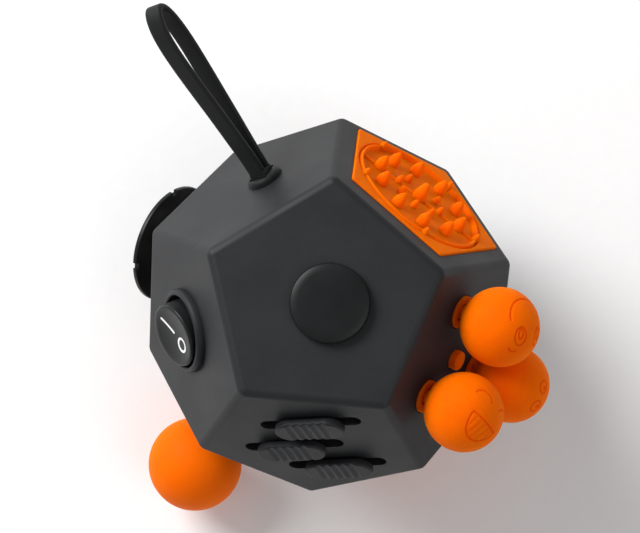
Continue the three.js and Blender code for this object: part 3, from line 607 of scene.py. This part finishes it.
def open_flats(bm):
    for name, holes in OPENINGS.items():
        place = flat(name)
        bm.faces.ensure_lookup_table()
        level = [f for f in bm.faces if f.normal.dot(NORMALS[name]) > 0.9999]
        face = max(level, key=lambda f: f.calc_area())
        edges = list(face.edges)
        bmesh.ops.delete(bm, geom=[face], context="FACES_ONLY")
        for hole in holes:
            corners = [bm.verts.new(place @ Vector((x, y, 0.0))) for x, y in hole]
            edges += [bm.edges.new(pair) for pair in zip(corners, corners[1:] + corners[:1])]
        made = bmesh.ops.triangle_fill(bm, use_beauty=True, edges=edges, normal=NORMALS[name])
        for part in made["geom"]:
            if isinstance(part, bmesh.types.BMFace) and part.normal.dot(NORMALS[name]) < 0:
                part.normal_flip()
    return bm


print("openings:", sum(len(holes) for holes in OPENINGS.values()))

# %% [markdown]
# The mould parts along the zig-zag of edges where the front flats meet the rear ones, so the seam
# hides in the rounding. Each half keeps the faces nearest to its own flats, draws back a hair from
# the seam, and gets its wall from Solidify. A small bevel then eases every rim.

# %% Front and rear shells
SEAM_GAP = 0.05


def half_shell(name, flats, side):
    bm = open_flats(rounded_body())
    far = [f for f in bm.faces if nearest_flat(f.calc_center_median()) not in flats]
    bmesh.ops.delete(bm, geom=far, context="FACES")
    for vert in bm.verts:
        level = max(normal.dot(vert.co) for normal in NORMALS.values())
        if vert.is_boundary and level < FACE_DISTANCE - 0.02:
            vert.co.z += side * SEAM_GAP
    made = piece(name, bm, Matrix.Identity(4), "body", shell_abs)
    wall = made.modifiers.new("wall", "SOLIDIFY")
    wall.thickness, wall.offset, wall.use_even_offset = WALL * MM, -1.0, True
    ease = made.modifiers.new("rims", "BEVEL")
    ease.width, ease.segments, ease.limit_method = 0.14 * MM, 2, "ANGLE"
    ease.angle_limit = math.radians(70)
    made.modifiers.move(0, 2)
    return made


for shell_name, flats, side, node in (
    ("front_shell_skin", FRONT, 1, "front_shell"),
    ("rear_shell_skin", REAR, -1, "rear_shell"),
):
    shell = half_shell(shell_name, flats, side)
    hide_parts(node)

# %% [markdown]
# ## Glide pad
# A low round cap that the thumb pushes about. Its edge is rounded and its top is slightly domed,
# so the outline is spun with a few points along the dome. A thin ring of black rubber under its
# edge is painted shadow: it stands in the shaded gap under the cap and shows as a fine black line
# around it.

# %% Glide cap
CAP_RADIUS, CAP_LIFT, CAP_TOP = 6.3, 0.4, 1.9
SHADOW_RING_STEP, SHADOW_RING_TOP = 0.2, 0.7
TOP_RADIUS = CAP_RADIUS - SHADOW_RING_STEP
dome = [(TOP_RADIUS * (1 - k / 6) * 0.96, CAP_TOP - 0.3 * (1 - k / 6) ** 2) for k in range(7)]
cap = lathe(
    [(0.0, -5.1), (1.6, -5.1), (1.6, SHADOW_RING_TOP - 0.05), (TOP_RADIUS, SHADOW_RING_TOP - 0.05)]
    + [(TOP_RADIUS, CAP_TOP - 0.62), (TOP_RADIUS - 0.07, CAP_TOP - 0.42)]
    + dome,
    128,
)
glide_place = flat("glide", 1.2, -0.4)
piece("glide_pad_cap", cap, glide_place, "glide", black_abs, ["glide_cap"])
# painted shadow: a black ring in the gap under the cap's edge, where shade falls
ring = lathe(
    [(5.0, CAP_LIFT), (CAP_RADIUS - 0.08, CAP_LIFT), (CAP_RADIUS, CAP_LIFT + 0.1)]
    + [(CAP_RADIUS, SHADOW_RING_TOP - 0.1), (CAP_RADIUS - 0.06, SHADOW_RING_TOP), (5.0, SHADOW_RING_TOP)],
    128,
    closed=True,
)
piece("glide_pad_painted_shadow_ring", ring, glide_place, "glide", black_silicone, ())

# %% [markdown]
# ## Rocker switch
# A round rocker in a raised bezel. The bezel is a turned ring with a generous outer radius. The
# rocker is a disc that is tipped on its pin, with a shallow dish for the finger and two printed
# marks that anyone knows: a bar and a ring.

# %% Bezel and housing
bezel = lathe(
    [(0.0, -7.0), (6.2, -7.0), (6.2, 0.05), (6.8, 0.05), (6.8, 0.55), (6.7, 0.95), (6.45, 1.2)]
    + [(6.2, 1.3), (6.02, 1.27), (5.88, 1.12), (5.85, 0.9), (5.85, -6.2), (0.0, -6.2)],
    96,
)
piece("switch_bezel", bezel, flat("rocker", ROCKER_SHIFT), "body", knob_abs, ["switch_housing"])

# %% Rocker
ROCKER_RADIUS, ROCKER_CROWN, DISH = 5.2, 2.8, 0.6
ROCKER_TURN, ROCKER_TILT = 28.0, 11.5
tilt = Matrix.Rotation(math.radians(ROCKER_TILT), 4, "Y")
rocker_place = flat("rocker", ROCKER_SHIFT, 0.0, ROCKER_TURN) @ tilt


def dished(radius):
    """How far the finger dish lies under the rocker's rim."""
    return DISH * max(0.0, 1.0 - (radius / (ROCKER_RADIUS - 0.4)) ** 2)


dish = [(r, ROCKER_CROWN - dished(r)) for r in (4.8, 4.2, 3.6, 3.0, 2.4, 1.8, 1.2, 0.6, 0.0)]
rocker = lathe(
    [(0.0, -2.4), (ROCKER_RADIUS, -2.4), (ROCKER_RADIUS, 2.4), (5.13, 2.62), (4.96, 2.76)] + dish,
    96,
)
keel = brick(1.6, 4.0, -4.0, -2.3, 0.2)
piece("rocker_button", joined(rocker, keel), rocker_place, "rocker", black_abs, ["rocker"])

# %% [markdown]
# The marks are pad-printed ink, a few hundredths of a millimetre thick. The bar's long edges are
# divided and the ring is turned in many steps, so that both can follow the dish.

# %% Printed marks
INK = 0.03


def ink(bm):
    for vert in bm.verts:
        vert.co.z += ROCKER_CROWN - dished(math.hypot(vert.co.x, vert.co.y))
    return bm


bar = plate(slot_points(3.6, 0.45, -2.1), -INK, INK)
bmesh.ops.subdivide_edges(bar, edges=[e for e in bar.edges if e.calc_length() > 2.0], cuts=12)
bmesh.ops.connect_verts_concave(bar, faces=bar.faces)
piece("rocker_bar_mark", ink(bar), rocker_place, "rocker", white_ink, ())
ring = placed(lathe([(0.87, -INK), (1.27, -INK), (1.27, INK), (0.87, INK)], 64, closed=True), 2.1)
piece("rocker_ring_mark", ink(ring), rocker_place, "rocker", white_ink, ())

# %% [markdown]
# ## Sliders
# Each knob is a long rounded pill with five scallops across it for grip. The pill is an extruded
# outline with bevelled rims. It is sliced into thin bands, and the bands' upper edges are lowered
# by a smooth wave where the scallops lie.

# %% Slider knobs
KNOB_LENGTH, KNOB_WIDTH, KNOB_LOW, KNOB_HIGH = 11.2, 5.2, 0.35, 1.75
KNOB_ROUND, KNOB_SLICES = 0.4, 78
STILL = 0.6  # how much of the knob's foot the scallops leave alone
SCALLOPS, SCALLOP_PITCH, SCALLOP_DEPTH = 5, 1.35, 0.5
SIDE_FADE = 0.6  # how much shallower a scallop is at the knob's long sides


def scallop(x, y):
    half = SCALLOPS * SCALLOP_PITCH / 2
    if abs(x) >= half:
        return 0.0
    across = 1.0 - SIDE_FADE * (2 * y / KNOB_WIDTH) ** 2
    return SCALLOP_DEPTH * across * math.sin(math.pi * (x + half) / SCALLOP_PITCH) ** 2


def slider_knob():
    bm = plate(slot_points(KNOB_LENGTH, KNOB_WIDTH, steps=24), KNOB_LOW, KNOB_HIGH)
    top = [e for e in bm.edges if all(v.co.z > KNOB_HIGH - 0.01 for v in e.verts)]
    bmesh.ops.bevel(bm, geom=top, offset=KNOB_ROUND, segments=5, clamp_overlap=True, **BEVEL)
    foot = [e for e in bm.edges if all(v.co.z < KNOB_LOW + 0.01 for v in e.verts)]
    bmesh.ops.bevel(bm, geom=foot, offset=KNOB_ROUND, segments=3, clamp_overlap=True, **BEVEL)
    span = SCALLOPS * SCALLOP_PITCH
    for k in range(KNOB_SLICES + 1):
        x = -span / 2 + span * k / KNOB_SLICES
        geometry = bm.verts[:] + bm.edges[:] + bm.faces[:]
        bmesh.ops.bisect_plane(bm, geom=geometry, dist=1e-5, plane_co=(x, 0, 0), plane_no=(1, 0, 0))
    for vert in bm.verts:
        share = (vert.co.z - KNOB_LOW - STILL) / (KNOB_HIGH - KNOB_LOW - STILL)
        if share > 0:
            vert.co.z -= share * scallop(vert.co.x, vert.co.y)
    return joined(bm, brick(6.8, 2.2, -3.3, KNOB_LOW + 0.3, 0.15))


for k, (x, y, rest) in enumerate(SLIDER_ROWS, 1):
    c, s = polar(1.0, SLIDER_TURN)
    u = x + rest
    place = flat("slider", c * u - s * y, s * u + c * y, SLIDER_TURN)
    name, node = f"slider_{k}_grip", f"slider_knob_{k}"
    piece(name, slider_knob(), place, f"slider_{k}", knob_abs, [node])

# %% [markdown]
# ## Smiling balls
# Three silicone balls stand on short soft necks. Each has a plain smiling face engraved in it,
# which a mould makes with thin raised ridges. The lines are drawn on a flat chart, in millimetres
# to the right and up from the middle of the face, and are wrapped onto the ball. Every point of a
# fine ball that lies near a line is then pressed in, and an attribute keeps how deep, so that the
# finish can paint shade into the lines there.

# %% Face charts
SMILE_RADIUS, SMILE_HEIGHT = 6.25, 7.0


def arc(x, y, wide, tall, first, last, steps=20):
    angles = [math.radians(first + (last - first) * k / steps) for k in range(steps + 1)]
    return [(x + wide * math.cos(a), y + tall * math.sin(a)) for a in angles]


BEAMING = [
    arc(2.0, 2.3, 1.0, 1.5, 0, 360),
    arc(-2.0, 2.3, 1.0, 1.5, 0, 360),
    arc(2.0, 1.9, 0.4, 0.8, 0, 360),
    arc(-2.0, 1.9, 0.4, 0.8, 0, 360),
    arc(2.7, 3.4, 1.2, 1.6, 40, 110, 8),
    arc(-2.7, 3.4, 1.2, 1.6, 70, 140, 8),
    arc(0.0, -0.6, 3.7, 3.4, 178, 362),
]
GRINNING = [
    arc(-2.6, 1.5, 1.6, 1.5, 15, 165),
    arc(2.6, 1.5, 1.6, 1.5, 15, 165),
    [(-2.9, -1.2), (2.9, -1.2)],
    arc(0.0, -1.2, 2.9, 3.6, 180, 360),
]
TEETH = [
    [(x, -1.2), (x, -1.2 - 3.6 * math.sqrt(1 - (x / 2.9) ** 2))]
    for x in (-1.95, -1.0, 0.0, 1.0, 1.95)
]
SURPRISED = [
    arc(1.7, 1.6, 1.05, 1.05, 0, 360),
    arc(-1.7, 1.6, 1.05, 1.05, 0, 360),
    arc(1.6, 1.3, 0.25, 0.25, 0, 360, 10),
    arc(-1.6, 1.3, 0.25, 0.25, 0, 360, 10),
    arc(0.0, -0.8, 2.2, 1.9, 195, 345),
]
# bold lines, faint lines, how far the face leans from the ball's outer pole, towards where, and
# which way is up, all in degrees
FACES = [
    (BEAMING, [], 30.0, 39.0, -166.0),
    (GRINNING, TEETH, 25.0, 69.0, -23.0),
    (SURPRISED, [], 6.0, -98.0, 92.0),
]
print("faces to engrave:", len(FACES))

# %% Engraving
LINE_WIDTH, LINE_DEPTH, FAINT = 0.2, 0.14, 0.45
DOT_SPACING, FINE_BALL = 0.12, 7


def wrapped(chart, lean, towards, up):
    """The chart's lines as unit directions from the ball's middle, finely divided."""
    tip = Matrix.Rotation(math.radians(lean), 3, Vector((*polar(1.0, towards + 90), 0)))
    spin = Matrix.Rotation(math.radians(up - 90), 3, "Z")
    lines = []
    for line in chart:
        points = []
        for (x0, y0), (x1, y1) in zip(line, line[1:]):
            count = max(1, math.ceil(math.hypot(x1 - x0, y1 - y0) / DOT_SPACING))
            shares = [k / count for k in range(count)]
            points += [(x0 + (x1 - x0) * share, y0 + (y1 - y0) * share) for share in shares]
        for x, y in points + [line[-1]]:
            reach = math.hypot(x, y) / SMILE_RADIUS
            flat_way = Vector((x, y, 0)).normalized() if reach else Vector((1, 0, 0))
            way = flat_way * math.sin(reach) + Vector((0, 0, math.cos(reach)))
            lines.append(tip @ spin @ way)
    return lines


def engraved_ball(bold, faint, lean, towards, up):
    bm = orb(SMILE_RADIUS, 0.0, FINE_BALL)
    dots = wrapped(bold, lean, towards, up)
    bold_count = len(dots)
    dots += wrapped(faint, lean, towards, up)
    tree = KDTree(len(dots))
    for index, dot in enumerate(dots):
        tree.insert(dot * SMILE_RADIUS, index)
    tree.balance()
    depth_layer = bm.verts.layers.float.new("groove")
    for vert in bm.verts:
        _, index, distance = tree.find(vert.co)
        depth = max(0.0, 1.0 - (distance / LINE_WIDTH) ** 2)
        depth *= 1.0 if index < bold_count else FAINT
        vert[depth_layer] = depth
        vert.co *= 1.0 - depth * LINE_DEPTH / SMILE_RADIUS
    return placed(bm, 0, 0, SMILE_HEIGHT)


print("lines are", LINE_DEPTH, "mm deep")

# %% [markdown]
# The engraved lines are painted a deeper orange, as shade and light bouncing between their walls
# would make them. A mix that reads the groove attribute paints that into the same silicone finish.

# %% Engraved silicone with painted groove shade
silicone_with_painted_groove_shade = orange_silicone.copy()
silicone_with_painted_groove_shade.name = "orange_silicone_with_painted_groove_shade"
tree = silicone_with_painted_groove_shade.node_tree
shader = tree.nodes["Principled BSDF"]
skin = shader.inputs["Base Color"].links[0].from_socket
groove = add(tree, "ShaderNodeAttribute", attribute_name="groove")
# painted shade: the engraved lines are mixed towards a deeper orange by their groove depth
painted_groove_shade = add(
    tree,
    "ShaderNodeMix",
    {"B": linear("ec4a00")},
    {"Factor": groove.outputs["Fac"], "A": skin},
    data_type="RGBA",
)
tree.links.new(painted_groove_shade.outputs["Result"], shader.inputs["Base Color"])

for k, (angle, face) in enumerate(zip(SMILE_ANGLES, FACES), 1):
    x, y = polar(SMILE_PITCH, angle)
    ball, place = engraved_ball(*face), flat("smile", x, y)
    piece(f"smiling_ball_{k}", ball, place, f"smile_{k}", silicone_with_painted_groove_shade, [f"smile_ball_{k}"])

# %% [markdown]
# The collars and the small nub in the middle belong to one soft base under the wall, and each neck
# stands in its own collar. Only their tops come out of the shell, so they are made as turned
# pieces with rounded rims. The collars stop 0.24 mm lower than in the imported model, which leaves
# the balls room when the necks lean as far as they go.

# %% Collars, nub and necks
COLLAR_RADIUS, COLLAR_BORE, COLLAR_LOW, COLLAR_TOP = 2.7, 1.5, -2.6, 0.36
outline = [(COLLAR_BORE, COLLAR_LOW), (COLLAR_RADIUS, COLLAR_LOW)]
outline += [(COLLAR_RADIUS, COLLAR_TOP), (COLLAR_BORE, COLLAR_TOP)]
collars = [rod(11.5, -3.3, -2.3, 64, 0.3)]
for angle in SMILE_ANGLES:
    collar = lathe(outline, 64, True, 0.15)
    collars.append(placed(collar, *polar(SMILE_PITCH, angle)))
nub = lathe(
    [(0.0, COLLAR_LOW), (1.6, COLLAR_LOW), (1.6, 0.8), (1.5, 1.05), (1.2, 1.2), (0.0, 1.25)], 48
)
base = joined(*collars, nub)
piece("smile_base_skin", base, flat("smile"), "body", orange_silicone, ["smile_base"])
for k, angle in enumerate(SMILE_ANGLES, 1):
    neck = rod(1.1, -1.2, 2.0, 40, 0.2)
    place = flat("smile", *polar(SMILE_PITCH, angle))
    piece(f"soft_neck_{k}", neck, place, f"neck_{k}", orange_silicone, [f"ball_neck_{k}"])

# %% [markdown]
# ## Spiky pad
# A five-sided silicone pad with a round basin. The flat rim is filled between its five-sided
# outline and the basin's circle. That circle is then stepped down, up and in again, which gives
# the small moat and the raised ring, and the floor closes it. Each cone is a turned tip with a
# bulging foot.

# %% Spiky pad
PAD_RADIUS, PAD_LOW, PAD_TOP, PAD_ROUND = 15.5, -0.85, 0.35, 0.25
BASIN_RADIUS, BASIN_STEPS = 12.2, 120
SPIKE_TURN, SPIKE_LOW = 7.0, -0.45
# radius and height of each step into the basin
BASIN = [(12.05, 0.3), (11.95, 0.1), (11.92, -0.2), (11.75, -0.22), (11.67, -0.05), (11.6, 0.42)]
BASIN += [(11.4, 0.56), (11.2, 0.45), (11.1, -0.1), (11.0, -0.3)]


def pad_slab():
    bm = bmesh.new()
    pentagon = circle_points(PAD_RADIUS, 5, first=-90.0)
    corner = [bm.verts.new((x, y, PAD_TOP)) for x, y in pentagon]
    outer = [bm.edges.new(pair) for pair in zip(corner, corner[1:] + corner[:1])]
    basin = circle_points(BASIN_RADIUS, BASIN_STEPS)
    inner = [bm.verts.new((x, y, PAD_TOP)) for x, y in basin]
    loop = [bm.edges.new(pair) for pair in zip(inner, inner[1:] + inner[:1])]
    bmesh.ops.triangle_fill(bm, use_beauty=True, edges=outer + loop, normal=(0, 0, 1))
    wall = bmesh.ops.extrude_edge_only(bm, edges=outer)["geom"]
    for vert in (v for v in wall if isinstance(v, bmesh.types.BMVert)):
        vert.co.z = PAD_LOW
    foot = [e for e in wall if isinstance(e, bmesh.types.BMEdge) and e.is_boundary]
    bmesh.ops.edgeloop_fill(bm, edges=foot)
    for radius, height in BASIN:
        step = bmesh.ops.extrude_edge_only(bm, edges=loop)["geom"]
        loop = [e for e in step if isinstance(e, bmesh.types.BMEdge)]
        for vert in (v for v in step if isinstance(v, bmesh.types.BMVert)):
            share = radius / math.hypot(vert.co.x, vert.co.y)
            vert.co = Vector((vert.co.x * share, vert.co.y * share, height))
    bmesh.ops.edgeloop_fill(bm, edges=loop)
    bmesh.ops.recalc_face_normals(bm, faces=bm.faces)
    outside = (PAD_RADIUS + BASIN_RADIUS) / 2
    hard = sharper_than(bm, 60.0)
    rim = [e for e in hard if all(math.hypot(v.co.x, v.co.y) > outside for v in e.verts)]
    bmesh.ops.bevel(bm, geom=rim, offset=PAD_ROUND, segments=3, **BEVEL)
    return bm


def spike(foot, height):
    """A cone whose sides bulge before they draw in to a rounded tip."""
    sides = ((0.99, 0.2), (0.9, 0.42), (0.7, 0.64), (0.42, 0.84), (0.18, 0.97))
    outline = [(0.0, SPIKE_LOW), (foot, SPIKE_LOW), (foot, -0.1)]
    outline += [(foot * across, height * up) for across, up in sides]
    return lathe(outline + [(0.0, height)], 28)


# each ring of cones: how many, the ring's radius, its first angle, a cone's foot radius and height
SPIKES = [
    (1, 0.0, 0.0, 1.15, 2.8),
    (8, 4.1, 0.0, 0.58, 1.2),
    (10, 7.9, 0.0, 1.02, 2.2),
    (5, 11.4, 36.0, 0.62, 1.45),
]
spikes = []
for count, radius, first, foot, height in SPIKES:
    for k in range(count):
        x, y = polar(radius, SPIKE_TURN + first + 360 * k / count)
        spikes.append(placed(spike(foot, height), x, y))
ridge = turned(brick(22.6, 0.5, SPIKE_LOW, 0.1, 0.12), SPIKE_TURN)
pad_place = flat("spike", 0.0, PAD_SHIFT)
pad = joined(pad_slab(), ridge, *spikes)
piece("spiky_pad", pad, pad_place, "body", orange_silicone, ["spike_pad"])

# %% [markdown]
# ## Key strap
# A flat silicone strap, 3 mm wide and 1 mm thick, moulded as a narrow loop whose two legs run
# together into a round grommet. Its rounded section is carried along a smooth line through a few
# chosen points, one extrusion for each step, and both ends are closed inside the grommet.

# %% Strap
STRAP_WIDTH, STRAP_THICKNESS = 3.0, 1.0
LOOP_ROUTE = [
    (-0.8, 1.4), (-0.8, 6.0), (-0.85, 11.0), (-0.85, 16.0), (-0.85, 20.6), (-0.75, 25.4),
    (-0.4, 28.9), (0.25, 31.6), (1.2, 33.2), (2.3, 33.6), (3.35, 32.5), (4.0, 30.3), (4.1, 27.4),
    (3.75, 23.5), (3.05, 18.7), (2.3, 14.0), (1.6, 9.0), (1.0, 4.5), (0.8, 1.4),
]  # fmt: skip


def smooth_line(points, steps):
    """A Catmull-Rom line through the points."""
    ends = [tuple(2 * a - b for a, b in zip(points[0], points[1]))]
    ends += list(points) + [tuple(2 * a - b for a, b in zip(points[-1], points[-2]))]
    line = []
    for k in range(1, len(ends) - 2):
        p0, p1, p2, p3 = (Vector(ends[k + j]) for j in (-1, 0, 1, 2))
        for j in range(steps):
            t = j / steps
            bend = (2 * p0 - 5 * p1 + 4 * p2 - p3) * t * t + (3 * p1 - p0 - 3 * p2 + p3) * t**3
            line.append((2 * p1 + (p2 - p0) * t + bend) / 2)
    return line + [Vector(points[-1])]


ROUND_ENDED = 0.9  # the section is drawn this thick and then stretched to its true thickness


def strap():
    line = smooth_line([(-0.62, 0.2)] + LOOP_ROUTE + [(0.62, 0.2)], 8)
    section = slot_points(STRAP_WIDTH, ROUND_ENDED, steps=6)
    section = [(y / ROUND_ENDED * STRAP_THICKNESS, x) for x, y in section]
    bm = bmesh.new()
    loop = []
    for k, point in enumerate(line):
        along = (line[min(k + 1, len(line) - 1)] - line[max(k - 1, 0)]).normalized()
        side = Vector((-along.y, along.x))
        if not loop:
            ring = [bm.verts.new((0, 0, 0)) for _ in section]
            loop = [bm.edges.new(pair) for pair in zip(ring, ring[1:] + ring[:1])]
            first = list(loop)
        else:
            grown = bmesh.ops.extrude_edge_only(bm, edges=loop)["geom"]
            loop = [e for e in grown if isinstance(e, bmesh.types.BMEdge)]
            ring = [v for v in grown if isinstance(v, bmesh.types.BMVert)]
        for vert, (thick, wide) in zip(ring, section):
            vert.co = Vector((point.x + side.x * thick, wide, point.y + side.y * thick))
    return bm, first, loop


def closed_strap():
    bm, first, last = strap()
    bmesh.ops.edgeloop_fill(bm, edges=first)
    bmesh.ops.edgeloop_fill(bm, edges=last)
    bmesh.ops.recalc_face_normals(bm, faces=bm.faces)
    return bm


strap_place = flat("lanyard", *LANYARD_SHIFT, 54.0)
root = placed(turned(rod(1.3, -1.5, 1.5, 40, 0.15), 90, "X"), 0, 0, 0.4)
strap_mesh = joined(closed_strap(), root, placed(brick(2.6, 3.0, 0.4, 1.9, 0.15)))
piece("key_strap", strap_mesh, strap_place, "strap", black_silicone, ["lanyard_loop"])

# %% [markdown]
# The grommet is a turned plug with a rounded collar and a pocket that the strap comes out of.

# %% Grommet
grommet = lathe(
    [(0.0, -3.3), (4.1, -3.3), (4.1, -2.3), (2.9, -2.3), (2.9, 0.45), (2.86, 0.7), (2.75, 0.92)]
    + [(2.58, 1.09), (2.36, 1.18), (0.0, 1.2)],
    96,
)
grommet = soften(cut_out(grommet, brick(3.8, 3.3, -1.2, 2.2)), 0.08, 50.0, 2)
piece("strap_grommet", grommet, strap_place, "body", black_silicone, ["lanyard_grommet"])

# %% [markdown]
# ## Spinner
# A flat disc on a short hub. Four square notches in the rim give the finger something to flick.

# %% Spinner disc, hub and bush
DISC_RADIUS, DISC_BORE, DISC_LOW, DISC_HIGH = 10.25, 1.6, 7.1, 8.0
NOTCH, FIRST_NOTCH = 1.2, 52
side = [(DISC_RADIUS, DISC_LOW), (DISC_RADIUS, DISC_HIGH)]
disc = lathe([(DISC_BORE, DISC_LOW)] + side + [(DISC_BORE, DISC_HIGH)], 128, True, 0.22)
notches = []
for k in range(4):
    tool = placed(brick(NOTCH, NOTCH, DISC_LOW - 1, DISC_HIGH + 1), DISC_RADIUS)
    notches.append(turned(tool, FIRST_NOTCH + 90 * k))
piece("spinner_disc", cut_out(disc, *notches), flat("spinner"), "spinner", black_abs, ["spin_disc"])
hub = lathe(
    [(0.0, 1.15), (2.6, 1.15), (2.6, 6.95), (1.5, 6.95), (1.5, 7.8), (1.3, 8.0), (0.0, 8.0)],
    56,
    round_off=0.1,
)
stem = rod(1.45, -5.9, 1.4, 40)
piece("spinner_hub", joined(hub, stem), flat("spinner"), "spinner", black_abs, ["spin_shaft"])
bush = lathe(
    [(1.65, -5.0), (3.2, -5.0), (3.2, 0.08), (4.4, 0.08), (4.4, 1.0), (1.65, 1.0)], 64, True, 0.2
)
piece("spinner_bush", bush, flat("spinner"), "body", white_acetal, ["spin_bush"])

# %% [markdown]
# ## Ball joystick
# A plain ball on a stick. The ball is moulded in one piece with a blind hole for the stick, so it
# is a clean sphere. The stick is turned, with a cross bar inside the gimbal.

# %% Joystick
stick_place = flat("joystick")
ball = orb(8.0, 14.2)
piece("joystick_knob", ball, stick_place, "stick", orange_abs, ["joystick_ball"])
cross = turned(rod(0.6, -3.7, 3.7, 20, 0.1), 90, "X")
stick = joined(rod(1.5, -6.4, 8.9, 40, 0.15), placed(cross, 0, 0, -4.5))
piece("joystick_shaft", stick, stick_place, "stick", black_abs, ["joystick_stick"])

# %% [markdown]
# ## Buttons
# Five click buttons stand in a round tray. The tray's rim is higher than they are, so the toy can
# lie on it, and a boss in the middle is level with the rim.

# %% Button tray and buttons
BUTTON_PITCH, BUTTON_RADIUS, WELL_RADIUS = 7.0, 2.6, 2.75
tray = lathe(
    [(0.0, -1.8), (11.1, -1.8), (11.1, 0.06), (12.6, 0.06), (12.6, 1.55), (12.45, 1.85)]
    + [(12.15, 2.0), (11.45, 2.0), (11.2, 1.85), (10.85, 1.0), (10.7, 0.9), (2.75, 0.9)]
    + [(2.6, 1.0), (2.4, 2.0), (0.0, 2.0)],
    128,
)
seats = [polar(BUTTON_PITCH, 90 + 72 * k) for k in range(5)]
wells = [placed(rod(WELL_RADIUS, -3.0, 3.0, 56), x, y) for x, y in seats]
piece("button_tray_skin", cut_out(tray, *wells), flat("button"), "body", black_abs, ["button_tray"])
angles = (1.57, 1.2, 0.9, 0.6, 0.3, 0.0)
curve = [(BUTTON_RADIUS * math.sin(a), 1.1 + 0.6 * math.cos(a)) for a in angles]
foot = [(0.0, -2.95), (3.3, -2.95), (3.3, -1.95), (BUTTON_RADIUS, -1.95)]
for k, seat in enumerate(seats):
    button = lathe(foot + curve, 64)
    finish = orange_silicone if k % 2 else black_abs
    place = flat("button", *seat)
    piece(f"click_button_{k + 1}", button, place, f"button_{k + 1}", finish, [f"button_{k + 1}"])

# %% [markdown]
# ## Thumb gears
# Three narrow wheels with rounded teeth. Each is an extruded outline with its teeth as a smooth
# wave, so that a thumb can roll it without an edge.

# %% Thumb gears
GEAR_RADIUS, GEAR_TEETH, GEAR_DEPTH = 5.2, 16, 3.1
TOOTH_DEPTH, TOOTH_STEPS = 0.5, 12


def gear():
    points = []
    for k in range(GEAR_TEETH * TOOTH_STEPS):
        wave = 0.5 + 0.5 * math.cos(math.tau * k / TOOTH_STEPS)
        radius = GEAR_RADIUS - TOOTH_DEPTH * (1 - wave**0.5)
        points.append(polar(radius, 360 * k / (GEAR_TEETH * TOOTH_STEPS)))
    bm = plate(points, -GEAR_WIDTH / 2, GEAR_WIDTH / 2, 0.18, 2)
    bm = cut_out(bm, rod(0.95, -3.0, 3.0, 32))
    return turned(bm, 90, "Y")


for k in (1, 2, 3):
    finish = orange_abs if k == 2 else black_abs
    place = flat("gear", GEAR_PITCH * (k - 2), 0.0, 0.0, -GEAR_DEPTH)
    piece(f"ridged_wheel_{k}", gear(), place, f"gear_{k}", finish, [f"thumb_gear_{k}"])

# %% [markdown]
# ## Rolling ball and worry dish
# The rolling ball is a polished steel sphere. The worry dish is a silicone button with a hollow
# for the thumb, spun from an arc.

# %% Rolling ball and worry dish
ball = orb(4.5, -2.6)
piece("steel_ball", ball, flat("roller"), "rolling_ball", bright_steel, ["rolling_ball"])
DISH_RADIUS, DISH_DEPTH = 8.2, 2.2
curve_radius = (DISH_RADIUS**2 + DISH_DEPTH**2) / (2 * DISH_DEPTH)
hollow = []
for k in range(13):
    r = DISH_RADIUS * (1 - k / 12)
    hollow.append((r, 1.0 - DISH_DEPTH + curve_radius - math.sqrt(curve_radius**2 - r**2)))
worry = lathe(
    [(0.0, -3.0), (8.7, -3.0), (8.7, 0.06), (10.0, 0.06), (10.0, 0.5), (9.85, 0.8), (9.5, 0.98)]
    + [(8.9, 1.02)]
    + hollow,
    96,
)
piece("thumb_hollow", worry, flat("worry"), "body", orange_silicone, ["worry_dish"])

# %% [markdown]
# ## Floor and light
# The toy lies on plain white card. A large soft light stands behind it and to the left, so that the
# shadow falls to the lower right of the picture, and a weaker one fills in from the other side.


# %% Stage
def paper():
    finish, tree, shader = blank_finish("white_card")
    place = add(tree, "ShaderNodeTexCoord").outputs["Object"]
    grain = {"Scale": per_metre(2.0), "Detail": 4.0}
    fibre = add(tree, "ShaderNodeTexNoise", grain, {"Vector": place})
    colour = add(tree, "ShaderNodeValToRGB", links={"Fac": fibre.outputs["Fac"]})
    colour.color_ramp.elements[0].color = linear("fafafa")
    colour.color_ramp.elements[1].color = linear("ffffff")
    tree.links.new(colour.outputs["Color"], shader.inputs["Base Color"])
    shader.inputs["Roughness"].default_value = 0.9
    return finish


floor = bmesh.new()
bmesh.ops.create_grid(floor, x_segments=1, y_segments=1, size=3.0)
floor_mesh = bpy.data.meshes.new("floor")
floor.to_mesh(floor_mesh)
floor.free()
floor_mesh.materials.append(paper())
floor_object = bpy.data.objects.new("floor", floor_mesh)
floor_object.location.z = -0.02 * MM
bpy.context.scene.collection.objects.link(floor_object)


def soft_light(name, place, aim, size, power):
    lamp = bpy.data.lights.new(name, "AREA")
    lamp.shape, lamp.size, lamp.energy = "DISK", size, power
    made = bpy.data.objects.new(name, lamp)
    made.location = place
    made.rotation_euler = (Vector(aim) - Vector(place)).to_track_quat("-Z", "Y").to_euler()
    bpy.context.scene.collection.objects.link(made)


BODY_MIDDLE = (0, 0, 0.02)
soft_light("key", (-0.42, 0.3, 0.42), BODY_MIDDLE, size=0.42, power=4.8)
soft_light("fill", (0.5, -0.3, 0.65), BODY_MIDDLE, size=0.6, power=1.2)
world = bpy.data.worlds.new("studio")
world.use_nodes = True
backdrop = world.node_tree.nodes["Background"]
backdrop.inputs["Color"].default_value = (1, 1, 1, 1)
backdrop.inputs["Strength"].default_value = 0.335
bpy.context.scene.world = world
bpy.context.scene.view_settings.view_transform = "Standard"
print("lights:", len(bpy.data.lights), "and a white world")
